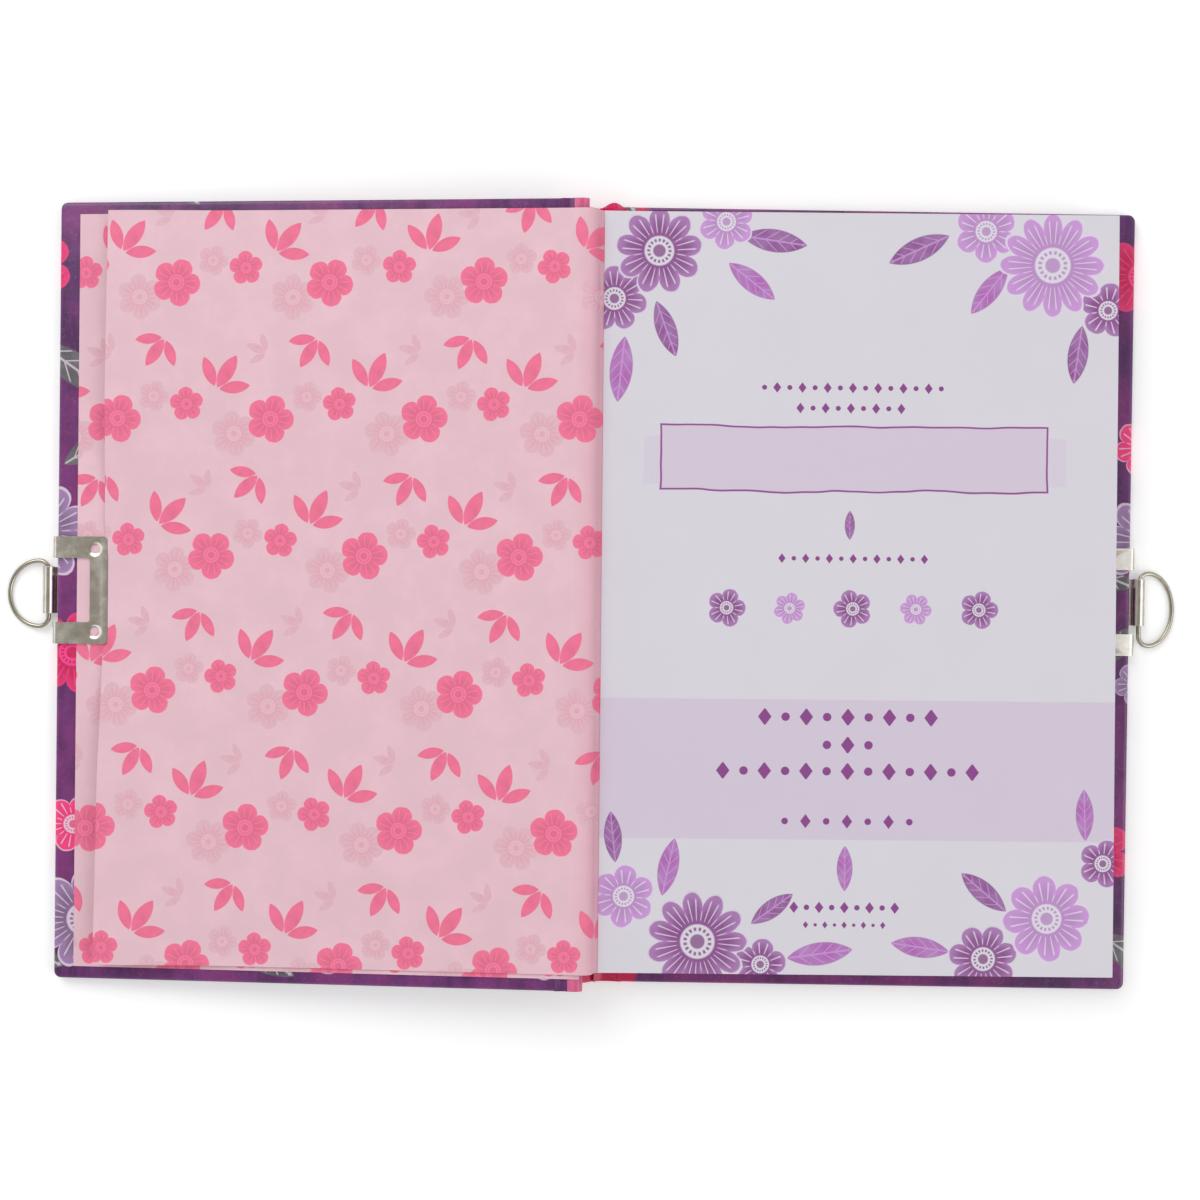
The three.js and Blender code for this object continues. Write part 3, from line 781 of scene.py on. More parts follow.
def new_piece(name, vertices, faces, material, uv=None, sharp=35):
    """A mesh object with smooth shading, sharp where faces meet at more than `sharp` degrees."""
    mesh = bpy.data.meshes.new(name)
    mesh.from_pydata([tuple(v) for v in vertices], [], faces)
    if uv:
        layer = mesh.uv_layers.new(name="print")
        for loop in mesh.loops:
            layer.data[loop.index].uv = uv[loop.vertex_index]
    bm = bmesh.new()
    bm.from_mesh(mesh)
    bmesh.ops.recalc_face_normals(bm, faces=bm.faces)
    for edge in bm.edges:
        edge.smooth = not edge.is_manifold or edge.calc_face_angle() < math.radians(sharp)
    bm.to_mesh(mesh)
    bm.free()
    mesh.polygons.foreach_set("use_smooth", [True] * len(mesh.polygons))
    mesh.materials.append(material)
    piece = bpy.data.objects.new(name, mesh)
    bpy.context.collection.objects.link(piece)
    return piece


def grid_faces(columns, rows, start=0):
    """Quads of a grid whose points are numbered row by row within each column."""
    faces = []
    for i in range(columns - 1):
        for j in range(rows - 1):
            a = start + i * rows + j
            faces.append((a, a + 1, a + rows + 1, a + rows))
    return faces


def rim_faces(columns, rows):
    """Quads that join the rims of two such grids, one below the other."""
    count = columns * rows
    rim = [i * rows for i in range(columns)]
    rim += [(columns - 1) * rows + j for j in range(1, rows)]
    rim += [i * rows + rows - 1 for i in range(columns - 2, -1, -1)]
    rim += [j for j in range(rows - 2, 0, -1)]
    return [(a, b, count + b, count + a) for a, b in zip(rim, rim[1:] + rim[:1])]


def tube_faces(rings, count):
    """Quads between rings of `count` points each."""
    faces = []
    for k in range(rings - 1):
        for i in range(count):
            a, b = k * count + i, k * count + (i + 1) % count
            faces.append((a, b, b + count, a + count))
    return faces


def thick_sheet(name, grid, thickness, material, plain_back=False):
    """A sheet of even thickness below a grid of points. Its print map is in metres from the spine
    edge and the middle of the pages, and a plain back has it moved off the printed page."""
    columns, rows = len(grid), len(grid[0])
    upper = [point for column in grid for point in column]
    lower = []
    for i in range(columns):
        for j in range(rows):
            across = grid[min(i + 1, columns - 1)][j] - grid[max(i - 1, 0)][j]
            along = grid[i][min(j + 1, rows - 1)] - grid[i][max(j - 1, 0)]
            normal = across.cross(along).normalized()
            if normal.z < 0:
                normal = -normal
            lower.append(grid[i][j] - normal * thickness)
    count = columns * rows
    faces = grid_faces(columns, rows)
    faces += [tuple(reversed(face)) for face in grid_faces(columns, rows, count)]
    faces += rim_faces(columns, rows)
    flat = [(point.x - SPINE_EDGE, point.y - PAGE_MIDDLE) for point in upper]
    piece = new_piece(name, upper + lower, faces, material, flat + flat)
    if plain_back:
        layer = piece.data.uv_layers["print"]
        for face in piece.data.polygons:
            if all(i >= count for i in face.vertices):
                for loop in face.loop_indices:
                    layer.data[loop].uv.x += OFF_THE_PAGE
    return piece


def rounded_outline(x0, x1, half, corner, inset):
    """Outline of a sheet with both fore-edge corners rounded, moved inwards by inset."""
    radius = max(corner - inset, 0.05 * MM)
    x1, half = x1 - inset, half - inset
    points = [Vector((x0 + inset, -half, 0))]
    for centre_y, start in ((-half + radius, -90), (half - radius, 0)):
        for step in range(7):
            turn = math.radians(start + 15 * step)
            x, y = x1 - radius + radius * math.cos(turn), centre_y + radius * math.sin(turn)
            points.append(Vector((x, y, 0)))
    points.append(Vector((x0 + inset, half, 0)))
    return points


def rounded_slab(x0, x1, height, low, high, corner, edge):
    """Points and faces of a board with its edges rolled over."""
    profile = [(edge + 0.4 * MM, low)]
    for turn in range(-90, 91, 18):
        level = low + edge if turn < 0 else high - edge
        inset = edge * (1 - math.cos(math.radians(turn)))
        profile.append((inset, level + edge * math.sin(math.radians(turn))))
    profile.append((edge + 0.4 * MM, high))
    rings = []
    for inset, z in profile:
        outline = rounded_outline(x0, x1, height / 2, corner, inset)
        rings.append([point + Vector((0, 0, z)) for point in outline])
    points, count = [point for ring in rings for point in ring], len(rings[0])
    bottom, top = tuple(reversed(range(count))), tuple(range(len(points) - count, len(points)))
    return points, [bottom, top, *tube_faces(len(rings), count)]


def sweep(path, radius, sides):
    """Round wire along a flat path in X and Y."""
    vertices = []
    for i, point in enumerate(path):
        along = (path[min(i + 1, len(path) - 1)] - path[max(i - 1, 0)]).normalized()
        side = Vector((-along.y, along.x, 0))
        for k in range(sides):
            turn = 2 * math.pi * k / sides
            rise = Vector((0, 0, radius * math.sin(turn)))
            vertices.append(point + side * (radius * math.cos(turn)) + rise)
    ends = [tuple(range(sides)), tuple(range(len(vertices) - sides, len(vertices)))]
    return vertices, tube_faces(len(path), sides) + ends


def smooth_step(value, low, high):
    t = max(0.0, min(1.0, (value - low) / (high - low)))
    return t * t * (3 - 2 * t)


def give(material, *nodes):
    """Dresses nodes of the frame that keep their own shape."""
    for node in nodes:
        mesh = frame["nodes"][node].data
        mesh.materials.clear()
        mesh.materials.append(material)


# Covers


def make_cover(side, covers, material):
    (place, reach, body), node = SIDES[side], f"{side}_cover_paper"
    start = BOARD_START + (reach - FORE_EDGE)
    points, faces = rounded_slab(
        start, reach, COVER_HEIGHT, 0, COVER_THICKNESS, covers.corner, covers.rounding
    )
    points = [place @ point for point in points]
    cover = new_piece(f"{side}_cover_wrap", points, faces, material)
    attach(cover, body)
    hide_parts(node)


class DIARY_OT_covers(bpy.types.Operator):
    """Wrap both boards in laminated, printed paper with rolled edges"""

    bl_idname = "diary.covers"
    bl_label = "Covers"

    def execute(self, context):
        covers = context.scene.diary_covers
        printed = cover_material(covers)
        for side in SIDES:
            make_cover(side, covers, printed)
        give(board_material(), "front_board", "back_board")
        return {"FINISHED"}


# Joint papers in the frames of their covers, in millimetres: the gully beside the front board, the
# nose that rolls over towards the spine, and the flat joint beside the back board
FRONT_GULLY = [(9.2, 2.5), (8.4, 2.5), (7.6, 2.28), (6.8, 2.2), (5.9, 2.35), (5.2, 2.55)]
FRONT_NOSE = [
    (5.6, 2.6), (4.6, 2.64), (3.5, 2.62), (2.6, 2.42), (2.05, 1.92), (2.0, 1.3), (2.5, 0.75),
    (3.6, 0.45), (5.6, 0.35),
]
BACK_JOINT = [
    (7.2, 2.52), (6.0, 2.3), (5.0, 1.95), (3.6, 1.75), (2.0, 1.85), (0.6, 2.2), (-0.2, 2.4),
]


def joint_band(name, place, line, material, body):
    """A band of paper through the points of a line, along the whole height of the cover."""
    points = smooth_line([Vector((x * MM, 0, z * MM)) for x, z in line], 4)
    rows = [COVER_HEIGHT * (j / 24 - 0.5) for j in range(25)]
    grid = [[place @ Vector((p.x, y, p.z)) for y in rows] for p in points]
    band = thick_sheet(name, grid, JOINT_PAPER, material)
    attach(band, body)


def padded_sheet(name, line, half_height, thickness, place, material):
    """A sheet with rounded edges all round, about a curved line in X and Z, extruded along Y."""
    radius = thickness / 2
    ease = [(0, 0.12), (0.08, 0.4), (0.3, 0.72), (0.6, 0.92), (1, 1)]
    rows = [(-half_height + radius * d, k) for d, k in ease]
    rows += [(half_height * (j / 6 - 1), 1) for j in range(1, 12)]
    rows += [(half_height - radius * d, k) for d, k in reversed(ease)]
    ends = [0.12, 0.55, 0.85] + [1] * (len(line) - 6) + [0.85, 0.55, 0.12]
    front, back = [], []
    for i, point in enumerate(line):
        along = line[min(i + 1, len(line) - 1)] - line[max(i - 1, 0)]
        normal = Vector((along.z, 0, -along.x)).normalized()
        for y, swell in rows:
            offset = normal * (radius * swell * ends[i])
            front.append(place @ (point + offset + Vector((0, y, 0))))
            back.append(place @ (point - offset + Vector((0, y, 0))))
    faces = grid_faces(len(line), len(rows)) + grid_faces(len(line), len(rows), len(front))
    return new_piece(name, front + back, faces + rim_faces(len(line), len(rows)), material)


def spine_place():
    """Takes the spine from where it stands on the closed book to its lean beside the open one."""
    pivot = Vector(JOINTS["spine_lean"]["pos_m"])
    lean = Matrix.Rotation(-math.radians(JOINTS["spine_lean"]["range_deg"][1]), 4, "Y")
    upright = Matrix.Translation((SPINE_EDGE - pivot.x, 0, -pivot.z))
    return Matrix.Translation(pivot) @ lean @ upright


def smooth_line(points, steps):
    """Catmull-Rom curve through the points."""
    ends = [points[0] * 2 - points[1], *points, points[-1] * 2 - points[-2]]
    line = []
    for a, b, c, d in zip(ends, ends[1:], ends[2:], ends[3:]):
        for k in range(steps):
            t = k / steps
            square, cube = (2 * a - 5 * b + 4 * c - d) * t * t, (3 * b - a - 3 * c + d) * t**3
            line.append(0.5 * (2 * b + (c - a) * t + square + cube))
    return [*line, points[-1]]


class DIARY_OT_spine(bpy.types.Operator):
    """Add the joint papers, the turned-in spine, the head cap and the cloths of the binding"""

    bl_idname = "diary.spine"
    bl_label = "Spine"

    def execute(self, context):
        covers = context.scene.diary_covers
        printed = bpy.data.materials["laminated_print"]
        plain = laminate_material("joint_pink", covers.strip)
        joint_band("front_gully_paper", FRONT_COVER, FRONT_GULLY, printed, "front_cover")
        joint_band("front_joint_paper", FRONT_COVER, FRONT_NOSE, plain, "front_cover")
        joint_band("back_joint_paper", BACK_COVER, BACK_JOINT, printed, "back_half")
        self.spine_wrap(printed)
        self.head_cap(covers)
        give(printed, "spine_cover_paper")
        give(woven_material("starched_gauze", (0.86, 0.84, 0.79), 5.0), "spine_lining")
        give(woven_material("band_cloth", (0.9, 0.88, 0.87), 9.0), "head_band", "tail_band")
        return {"FINISHED"}

    def spine_wrap(self, printed):
        """Cover paper turned in over the spine's card at head and tail."""
        low, high = PLATE_PROUD + SPINE_TUCK, CLOSED_TOP - SPINE_TUCK
        line = []
        for k in range(25):
            across = (k / 12 - 1) * 0.9
            inset = 0.72 * MM
            x = -SPINE_OFFSET - SPINE_BULGE * (1 - across * across) + inset
            line.append(Vector((x, 0, (low + high) / 2 + (high - low) / 2 * across)))
        half = COVER_HEIGHT / 2
        wrap = padded_sheet("spine_wrap", line, half, SPINE_WRAP, spine_place(), printed)
        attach(wrap, "spine")
        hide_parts("spine_board")

    def head_cap(self, covers):
        """Joint paper rucked up in an arch over the head of the spine."""
        low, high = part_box("head_cap")
        centre, half = (low.x + high.x) / 2, (high.x - low.x) / 2 - 0.2 * MM
        rise, depth = high.z - low.z - 0.35 * MM, high.y - low.y
        grid = []
        for i in range(41):
            turn = math.pi * (i / 40 - 0.5)
            bell = 0.55 * math.cos(turn) + 0.45 * (1 + math.cos(2 * turn)) / 2
            column = []
            for j in range(9):
                share = j / 8
                ruck = 0.1 * MM * math.sin(7 * turn + 4 * share) * bell
                x = centre + half * (turn / (math.pi / 2)) * (1 - 0.14 * share * share)
                y = high.y - depth * share - 0.5 * MM * (1 - bell) * (1 - share)
                z = low.z + JOINT_PAPER + (rise - 0.25 * MM * share) * bell + ruck
                column.append(Vector((x, y, z)))
            grid.append(column)
        material = laminate_material("head_cap_pink", covers.cap)
        cap = thick_sheet("head_cap_fold", grid, JOINT_PAPER, material)
        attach(cap, "back_half")
        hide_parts("head_cap")


# Endpapers and pages

# The fold over the joint, in millimetres: from the pages' upper corner, then from the cover's edge
FOLD_AT_PAGES = [(0.9, -0.02), (-0.1, 0.2), (-0.9, 1.3), (-1.5, 3.2)]
FOLD_AT_COVER = [(0.1, -0.2), (-1.6, 0.12)]
# The flyleaf springs up before its free edge, is held down near the plate, and waves a little
SPRING = 45 * MM
HELD, FREE = 12 * MM, 60 * MM
WAVE_HEIGHT, WAVE_LENGTH = 0.35 * MM, 31 * MM
# The title leaf rises into the gutter, and swells a little towards its fore-edge
GUTTER_RISE = 3 * MM
SWELL_HEIGHT, SWELL_LENGTH = 0.12 * MM, 47 * MM


class DIARY_OT_endpapers(bpy.types.Operator):
    """Lay the printed endpapers: pastedowns, the springing flyleaf and the fold over the joint"""

    bl_idname = "diary.endpapers"
    bl_label = "Endpapers"

    def execute(self, context):
        papers = context.scene.diary_papers
        give(endpaper_material("pastedown_print", "Object", papers), "front_pastedown")
        plain = endpaper_material("endpaper_plain", "Object", papers, backing=True)
        give(plain, "back_pastedown", "back_flyleaf")
        printed = endpaper_material("endpaper_print", "UV", papers)
        self.flyleaf(papers, printed)
        self.fold(printed)
        return {"FINISHED"}

    def flyleaf(self, papers, material):
        drop = HINGE.y - PAGE_MIDDLE
        head, foot = FLYLEAF_INSETS
        grid = []
        for k in range(41):
            share, column = k / 40, []
            for row in flyleaf_rows():
                down = 0.5 - row
                y = -(PAGE_HEIGHT * row) + drop
                edge = min(FRONT_REACH - (head + (foot - head) * down), plate_notch(y))
                x = FLYLEAF_START + (edge - FLYLEAF_START) * share
                spring = smooth_step(x, edge - SPRING, edge) ** 1.5
                hold = smooth_step(abs(y), HELD, FREE)
                wave = WAVE_HEIGHT * math.sin(y / WAVE_LENGTH + 1) * smooth_step(share, 0.3, 1)
                z = FLYLEAF_BASE + PAPER + papers.lift * spring * hold * (0.8 + 0.4 * down)
                column.append(FRONT_COVER @ Vector((x, y, z + abs(wave) * hold)))
            grid.append(column)
        leaf = thick_sheet("front_flyleaf_sheet", grid, PAPER, material)
        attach(leaf, "front_flyleaf_body")
        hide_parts("front_flyleaf")
        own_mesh(leaf)

    def fold(self, material):
        top = FLYLEAF_BASE + PAPER + 0.02 * MM
        over = FRONT_COVER @ Vector((FLYLEAF_START + 1.2 * MM, 0, top))
        start = FRONT_COVER @ Vector((0.4 * MM, 0, top))
        line = [Vector((SPINE_EDGE + x * MM, 0, PAGE_TOP + z * MM)) for x, z in FOLD_AT_PAGES]
        line += [Vector((start.x + x * MM, 0, start.z + z * MM)) for x, z in FOLD_AT_COVER]
        points = smooth_line([*line, Vector((over.x, 0, over.z))], 5)
        rows = [PAGE_MIDDLE + PAGE_HEIGHT * (j / 30 - 0.5) for j in range(31)]
        grid = [[Vector((p.x, y, p.z)) for y in rows] for p in reversed(points)]
        fold = thick_sheet("endpaper_fold", grid, FOLD_PAPER, material)
        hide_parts("front_endpaper_fold")
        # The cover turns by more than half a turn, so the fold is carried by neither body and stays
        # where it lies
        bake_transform(fold)


def flyleaf_rows():
    """Shares of the flyleaf's height, closer together round the lock plate."""
    half = PLATE_HEIGHT / 2 / PAGE_HEIGHT
    rows = [k / 24 - 0.5 for k in range(25)]
    near = [s * (half + d) for s in (-1, 1) for d in (0.0008, 0.0032, 0.012)]
    return sorted({round(v, 6) for v in rows + near})


def plate_notch(y):
    """Furthest that the flyleaf reaches beside the lock plate, in the front cover's frame."""
    beside = abs(y) > PLATE_HEIGHT / 2 + NOTCH_GAP
    return FRONT_REACH if beside else FRONT_REACH - PLATE_REACH - 0.12 * MM


class DIARY_OT_pages(bpy.types.Operator):
    """Print the title leaf, let it rise into the gutter, and line the leaf edges"""

    bl_idname = "diary.pages"
    bl_label = "Pages"

    def execute(self, context):
        papers = context.scene.diary_papers
        give(page_edge_material(papers), *[f"page_section_{k}" for k in range(1, 9)])
        width = PAGE_EDGE - SPINE_EDGE
        columns = [0.0, 0.002, 0.005, 0.009, 0.014, 0.02, 0.028, 0.038, 0.05, 0.07]
        columns += [0.1 + 0.9 * k / 36 for k in range(37)]
        grid = []
        for share in columns:
            x = SPINE_EDGE + 0.25 * MM + (width - 0.25 * MM) * share
            column = []
            for j in range(41):
                y = PAGE_FOOT + PAGE_HEIGHT * j / 40
                rise = papers.curl * math.exp(-(x - SPINE_EDGE) / GUTTER_RISE)
                swell = SWELL_HEIGHT * math.sin(y / SWELL_LENGTH) ** 2 * smooth_step(share, 0.5, 1)
                column.append(Vector((x, y, PAGE_TOP + rise + swell)))
            grid.append(column)
        page = title_page_material(papers)
        leaf = thick_sheet("title_leaf_sheet", grid, PAPER, page, plain_back=True)
        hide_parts("title_leaf")
        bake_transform(leaf)
        return {"FINISHED"}


# Lock plates and rings

BEND_RADIUS = 1.2 * MM
BEND_LENGTH = math.pi / 2 * BEND_RADIUS
EDGE_RUN = 1.3 * MM
INNER_Z, OUTER_Z = 3.35 * MM, -0.35 * MM
FOLD_LENGTH = 2 * PLATE_REACH + 2 * BEND_LENGTH + EDGE_RUN
PLATE_CORNER, BROKEN_EDGE = 1.2 * MM, 0.11 * MM
WINDOW_START, WINDOW_HALF, WINDOW_CORNER = 5 * MM, 8.8 * MM, 0.7 * MM
HOLE_PLACES = [(3.6 * MM, side * 11.3 * MM) for side in (-1, 1)]
HOLE_RADIUS = 1.3 * MM
DISH_RADII = (1.45 * MM, 1.65 * MM, 1.9 * MM, 2.2 * MM)


def folded(s):
    """Middle of the folded plate at length s along the strip: its place and outward direction."""
    if s < PLATE_REACH:
        return Vector((s - PLATE_REACH, 0, INNER_Z)), Vector((0, 0, 1))
    s -= PLATE_REACH
    if s < BEND_LENGTH:
        turn = s / BEND_RADIUS
        out = Vector((math.sin(turn), 0, math.cos(turn)))
        return Vector((0, 0, INNER_Z - BEND_RADIUS)) + out * BEND_RADIUS, out
    s -= BEND_LENGTH
    if s < EDGE_RUN:
        return Vector((BEND_RADIUS, 0, INNER_Z - BEND_RADIUS - s)), Vector((1, 0, 0))
    s -= EDGE_RUN
    if s < BEND_LENGTH:
        turn = s / BEND_RADIUS
        out = Vector((math.cos(turn), 0, -math.sin(turn)))
        return Vector((0, 0, OUTER_Z + BEND_RADIUS)) + out * BEND_RADIUS, out
    return Vector((BEND_LENGTH - s, 0, OUTER_Z)), Vector((0, 0, -1))


def rounded_loop(x0, x1, y0, y1, radius, steps=5):
    """Corner points of a rounded rectangle, in order."""
    loop = []
    for cx, cy, start in ((x1 - radius, y1 - radius, 0), (x0 + radius, y1 - radius, 90),
                          (x0 + radius, y0 + radius, 180), (x1 - radius, y0 + radius, 270)):
        for k in range(steps + 1):
            turn = math.radians(start + 90 * k / steps)
            loop.append(Vector((cx + radius * math.cos(turn), cy + radius * math.sin(turn))))
    return loop


def circle_loop(centre, radius, count=28):
    turns, (x, y) = [2 * math.pi * k / count for k in range(count)], centre
    return [Vector((x + radius * math.cos(t), y + radius * math.sin(t))) for t in turns]


def inside_loop(point, loop):
    hit = False
    for a, b in zip(loop, loop[1:] + loop[:1]):
        if (a.y > point.y) != (b.y > point.y):
            if point.x < (b.x - a.x) * (point.y - a.y) / (b.y - a.y) + a.x:
                hit = not hit
    return hit


def plate_pattern():
    """Flat pattern of the folded plate, cut into triangles: points and faces."""
    half = PLATE_HEIGHT / 2
    outline = rounded_loop(0, FOLD_LENGTH, -half, half, PLATE_CORNER)
    lower_arms = PLATE_REACH + math.pi * BEND_RADIUS + EDGE_RUN
    window = rounded_loop(WINDOW_START, lower_arms, -WINDOW_HALF, WINDOW_HALF, WINDOW_CORNER)
    holes = [circle_loop(place, HOLE_RADIUS) for place in HOLE_PLACES]
    rings = [circle_loop(place, radius) for place in HOLE_PLACES for radius in DISH_RADII]
    points, edges = [], []
    for loop in [outline, window, *holes, *rings]:
        first = len(points)
        points.extend(loop)
        edges.extend((first + k, first + (k + 1) % len(loop)) for k in range(len(loop)))
    for k in range(9):
        for base in (PLATE_REACH, PLATE_REACH + BEND_LENGTH + EDGE_RUN):
            s = base + BEND_LENGTH * k / 8
            edges.append((len(points), len(points) + 1))
            points.extend([Vector((s, -half)), Vector((s, half))])
    flat, _, triangles, *_ = delaunay_2d_cdt(points, edges, [], 0, 1e-7)
    kept = []
    for triangle in triangles:
        middle = sum((flat[i] for i in triangle), Vector((0, 0))) / 3
        gone = inside_loop(middle, window) or any(inside_loop(middle, hole) for hole in holes)
        if inside_loop(middle, outline) and not gone:
            kept.append(tuple(triangle))
    return flat, kept


def dish_depth(s, y, depth):
    """Depth of the pressed dish round the holes."""
    nearest = min(math.hypot(s - hole[0], y - hole[1]) for hole in HOLE_PLACES)
    return depth * (1 - smooth_step(nearest, HOLE_RADIUS, DISH_RADII[-1]))


def thicken(piece, thickness):
    """Gives a surface its sheet thickness and breaks its edges, then applies both."""
    solid = piece.modifiers.new("sheet", "SOLIDIFY")
    solid.thickness, solid.offset, solid.use_even_offset = thickness, 0, True
    bevel = piece.modifiers.new("edges", "BEVEL")
    bevel.width, bevel.segments, bevel.limit_method = BROKEN_EDGE, 2, "ANGLE"
    bevel.angle_limit, bevel.harden_normals = math.radians(50), True
    evaluated = piece.evaluated_get(bpy.context.evaluated_depsgraph_get())
    piece.data = bpy.data.meshes.new_from_object(evaluated)
    piece.modifiers.clear()


def make_plate(side, metals, material):
    (place, reach, body), node = SIDES[side], f"{side}_lock_plate"
    flat, faces = plate_pattern()
    points = []
    for s, y in flat:
        middle, out = folded(s)
        sunk = middle - out * dish_depth(s, y, metals.dish)
        points.append(place @ (sunk + Vector((reach, y, 0))))
    plate = new_piece(f"{side}_plate", points, faces, material, sharp=60)
    thicken(plate, metals.thickness)
    barrel = make_barrel(f"{side}_plate_barrel", place, reach, metals, material)
    for piece in (plate, barrel):
        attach(piece, body)
        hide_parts(node)


def make_barrel(name, place, reach, metals, material):
    """Tongue of the plate, rolled up into the barrel that holds the ring."""
    roll = BARREL_RADIUS - metals.thickness / 2
    line = [Vector((x * MM, 0, OUTER_Z)) for x in (-0.05, 0.6, 1.3, 2.0)]
    for k in range(29):
        turn = math.radians(-90 + 322 * k / 28)
        x, z = BARREL_OFFSET + roll * math.cos(turn), BARREL_HEIGHT + roll * math.sin(turn)
        line.append(Vector((x, 0, z)))
    rows = [BARREL_LENGTH * (j / 6 - 0.5) for j in range(7)]
    points = [place @ Vector((p.x + reach, y, p.z)) for p in line for y in rows]
    barrel = new_piece(name, points, grid_faces(len(line), len(rows)), material, sharp=60)
    thicken(barrel, metals.thickness)
    return barrel


def ring_path(width, depth, wire):
    """Bent wire: from the gap in the bar, round the corners and the bow, and back to the gap."""
    half, out = width / 2 - wire / 2, depth - wire / 2 - RING_CORNER
    straight = half - RING_CORNER
    path = [Vector((0, y, 0)) for y in (RING_GAP / 2, straight / 2, straight)]
    for k in range(1, 9):
        turn = math.pi - math.pi / 2 * k / 8
        x, y = RING_CORNER * (1 + math.cos(turn)), straight + RING_CORNER * math.sin(turn)
        path.append(Vector((x, y, 0)))
    for k in range(1, 25):
        turn = math.pi / 2 - math.pi / 2 * k / 24
        path.append(Vector((RING_CORNER + out * math.cos(turn), half * math.sin(turn), 0)))
    back = [Vector((p.x, -p.y, 0)) for p in reversed(path[:-1])]
    return path + back


def make_ring(side, metals, material):
    """A ring that hangs down from its barrel to the table."""
    (place, reach, _), ring = SIDES[side], RINGS[side]
    body, node = f"{side}_ring", f"{side}_d_ring"
    droop = math.asin((BARREL_RADIUS - metals.wire / 2 - 0.05 * MM) / ring["depth"])
    at = Matrix.Translation((reach + BARREL_OFFSET, ring["slack"], BARREL_HEIGHT))
    world = place @ at @ Matrix.Rotation(droop - ring["slope"], 4, "Y")
    path = ring_path(ring["width"], ring["depth"], metals.wire)
    points, faces = sweep(path, metals.wire / 2, metals.sides)
    points = [world @ point for point in points]
    piece = new_piece(f"{side}_ring_wire", points, faces, material, sharp=50)
    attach(piece, body)
    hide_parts(node)


class DIARY_OT_fittings(bpy.types.Operator):
    """Fold the nickel lock plates round the fore-edges and hang the rings in their barrels"""

    bl_idname = "diary.fittings"
    bl_label = "Lock fittings"

    def execute(self, context):
        metals = context.scene.diary_metals
        nickel = nickel_material("worn_nickel", metals.nickel)
        # The rings take the darker copy of the nickel, painted shade for their darker reflections
        wire = nickel_material("worn_shaded_ring_wire", metals.shaded_ring_nickel)
        for side in SIDES:
            make_plate(side, metals, nickel)
        for side in SIDES:
            make_ring(side, metals, wire)
        return {"FINISHED"}


# Studio, in metres

TABLE_HALF = 3.0
CARD_HEIGHT, CARD_CORNERS = 1.2, ((-1.0, -0.75), (0.488, -0.75), (0.488, 0.75), (-1.0, 0.75))
LAMP_SIZE, FILL_SHARE = 0.8, 0.5
KEY_PLACE, FILL_PLACE = (-0.5, 0.65, 0.85), (0.75, -0.35, 0.8)
SENSOR_WIDTH = 36  # millimetres
CAMERA_ASIDE = (-0.1 * MM, -2.25 * MM)  # from the spine edge and the middle of the pages


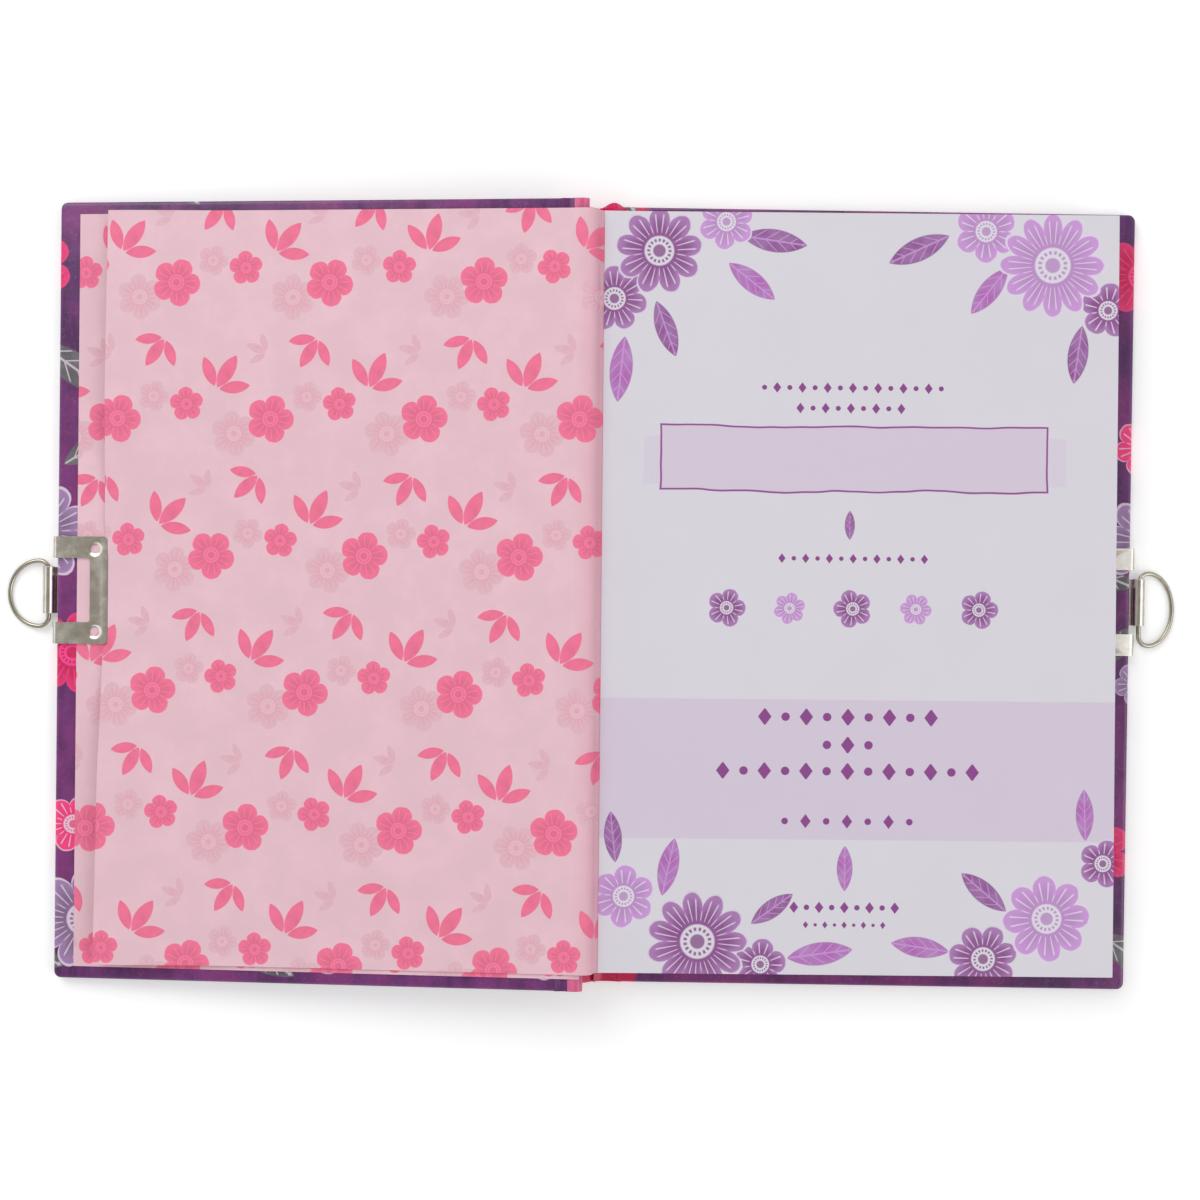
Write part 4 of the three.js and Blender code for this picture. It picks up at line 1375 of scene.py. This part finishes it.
class DIARY_OT_studio(bpy.types.Operator):
    """Set the white table, the lamps and the camera straight above"""

    bl_idname = "diary.studio"
    bl_label = "Studio"

    def execute(self, context):
        studio = context.scene.diary_studio
        self.table(studio)
        self.card(studio)
        self.lamp("key_lamp", KEY_PLACE, studio.key_power)
        self.lamp("fill_lamp", FILL_PLACE, studio.key_power * FILL_SHARE)
        self.sky(context.scene, studio)
        self.camera(context.scene, studio)
        context.scene.view_settings.view_transform = "Standard"
        return {"FINISHED"}

    def table(self, studio):
        r, point = new_material("white_table")
        grain = r.noise(point, 0.02, 2)
        base = r.mix(grain, shade(studio.table, 0.997), studio.table)
        far = r.soft(r.vector("LENGTH", point), 400, 2600, 1.0, 3.0)
        glow = r.times(r.times(seen_plainly(r), far), studio.table_glow)
        roughness = r.soft(grain, 0, 1, 0.85, 0.9)
        material = finish_material(r, base, roughness, glow=glow, Specular_IOR_Level=0.1)
        signs = ((-1, -1), (1, -1), (1, 1), (-1, 1))
        corners = [Vector((x * TABLE_HALF, y * TABLE_HALF, 0)) for x, y in signs]
        new_piece("table_top", corners, [(0, 1, 2, 3)], material)

    def card(self, studio):
        """Grey card high above the left of the table, seen only as a reflection."""
        r, point = new_material("grey_card")
        tone = r.mix(r.noise(point, 0.004, 1), shade(studio.card, 0.94), shade(studio.card, 1.06))
        glow = r.add("ShaderNodeEmission", {"Color": tone})
        r.put(r.add("ShaderNodeOutputMaterial").inputs["Surface"], glow.outputs[0])
        corners = [Vector((x, y, CARD_HEIGHT)) for x, y in CARD_CORNERS]
        card = new_piece("grey_card", corners, [(0, 1, 2, 3)], r.owner)
        card.visible_camera = card.visible_diffuse = card.visible_shadow = False

    def lamp(self, name, place, power):
        lamp = bpy.data.lights.new(name, "AREA")
        lamp.size, lamp.energy, lamp.shape = LAMP_SIZE, power, "DISK"
        piece = bpy.data.objects.new(name, lamp)
        piece.location = place
        piece.rotation_euler = (-Vector(place)).to_track_quat("-Z", "Y").to_euler()
        bpy.context.collection.objects.link(piece)

    def sky(self, scene, studio):
        r = Recipe(bpy.data.worlds.new("soft_sky"))
        strength = r.scaled(seen_plainly(r), 1 - studio.sky, studio.sky)
        up = r.split(r.add("ShaderNodeTexCoord").outputs["Generated"])[2]
        walls = r.soft(up, 0.05, 0.6, -0.65, 0.0)
        mirrored = r.add("ShaderNodeLightPath").outputs["Is Glossy Ray"]
        strength = r.times(strength, r.scaled(mirrored, walls, 1.0))
        light = r.add("ShaderNodeBackground", {"Color": (1.0, 1.0, 1.0), "Strength": strength})
        r.put(r.add("ShaderNodeOutputWorld").inputs["Surface"], light.outputs[0])
        scene.world = r.owner

    def camera(self, scene, studio):
        lens = bpy.data.cameras.new("camera")
        lens.lens, lens.sensor_width = studio.lens, SENSOR_WIDTH
        camera = bpy.data.objects.new("camera", lens)
        aside_x, aside_y = CAMERA_ASIDE
        camera.location = (SPINE_EDGE + aside_x, PAGE_MIDDLE + aside_y, studio.camera_height)
        camera.rotation_euler = (0, 0, studio.roll)
        bpy.context.collection.objects.link(camera)
        scene.camera = camera


class DIARY_PT_panel(bpy.types.Panel):
    """The pieces and their settings, in the sidebar"""

    bl_idname = "DIARY_PT_panel"
    bl_label = "Diary"
    bl_space_type = "VIEW_3D"
    bl_region_type = "UI"
    bl_category = "Diary"

    def draw(self, context):
        for operator in OPERATORS:
            self.layout.operator(operator.bl_idname)
        for name in SETTINGS:
            box = self.layout.box()
            group = getattr(context.scene, name)
            for setting in group.__annotations__:
                box.prop(group, setting)


SETTINGS = {
    "diary_papers": DiaryPaperSettings,
    "diary_covers": DiaryCoverSettings,
    "diary_metals": DiaryMetalSettings,
    "diary_studio": DiaryStudioSettings,
}
OPERATORS = [
    DIARY_OT_studio, DIARY_OT_covers, DIARY_OT_spine, DIARY_OT_endpapers, DIARY_OT_pages,
    DIARY_OT_fittings,
]


def register():
    for kind in [*SETTINGS.values(), *OPERATORS, DIARY_PT_panel]:
        bpy.utils.register_class(kind)
    for name, kind in SETTINGS.items():
        setattr(bpy.types.Scene, name, PointerProperty(type=kind))


def unregister():
    for name in SETTINGS:
        delattr(bpy.types.Scene, name)
    for kind in reversed([*SETTINGS.values(), *OPERATORS, DIARY_PT_panel]):
        bpy.utils.unregister_class(kind)


def main():
    register()
    bpy.ops.diary.studio()
    bpy.ops.diary.covers()
    bpy.ops.diary.spine()
    bpy.ops.diary.endpapers()
    bpy.ops.diary.pages()
    bpy.ops.diary.fittings()


if __name__ == "__main__":
    main()
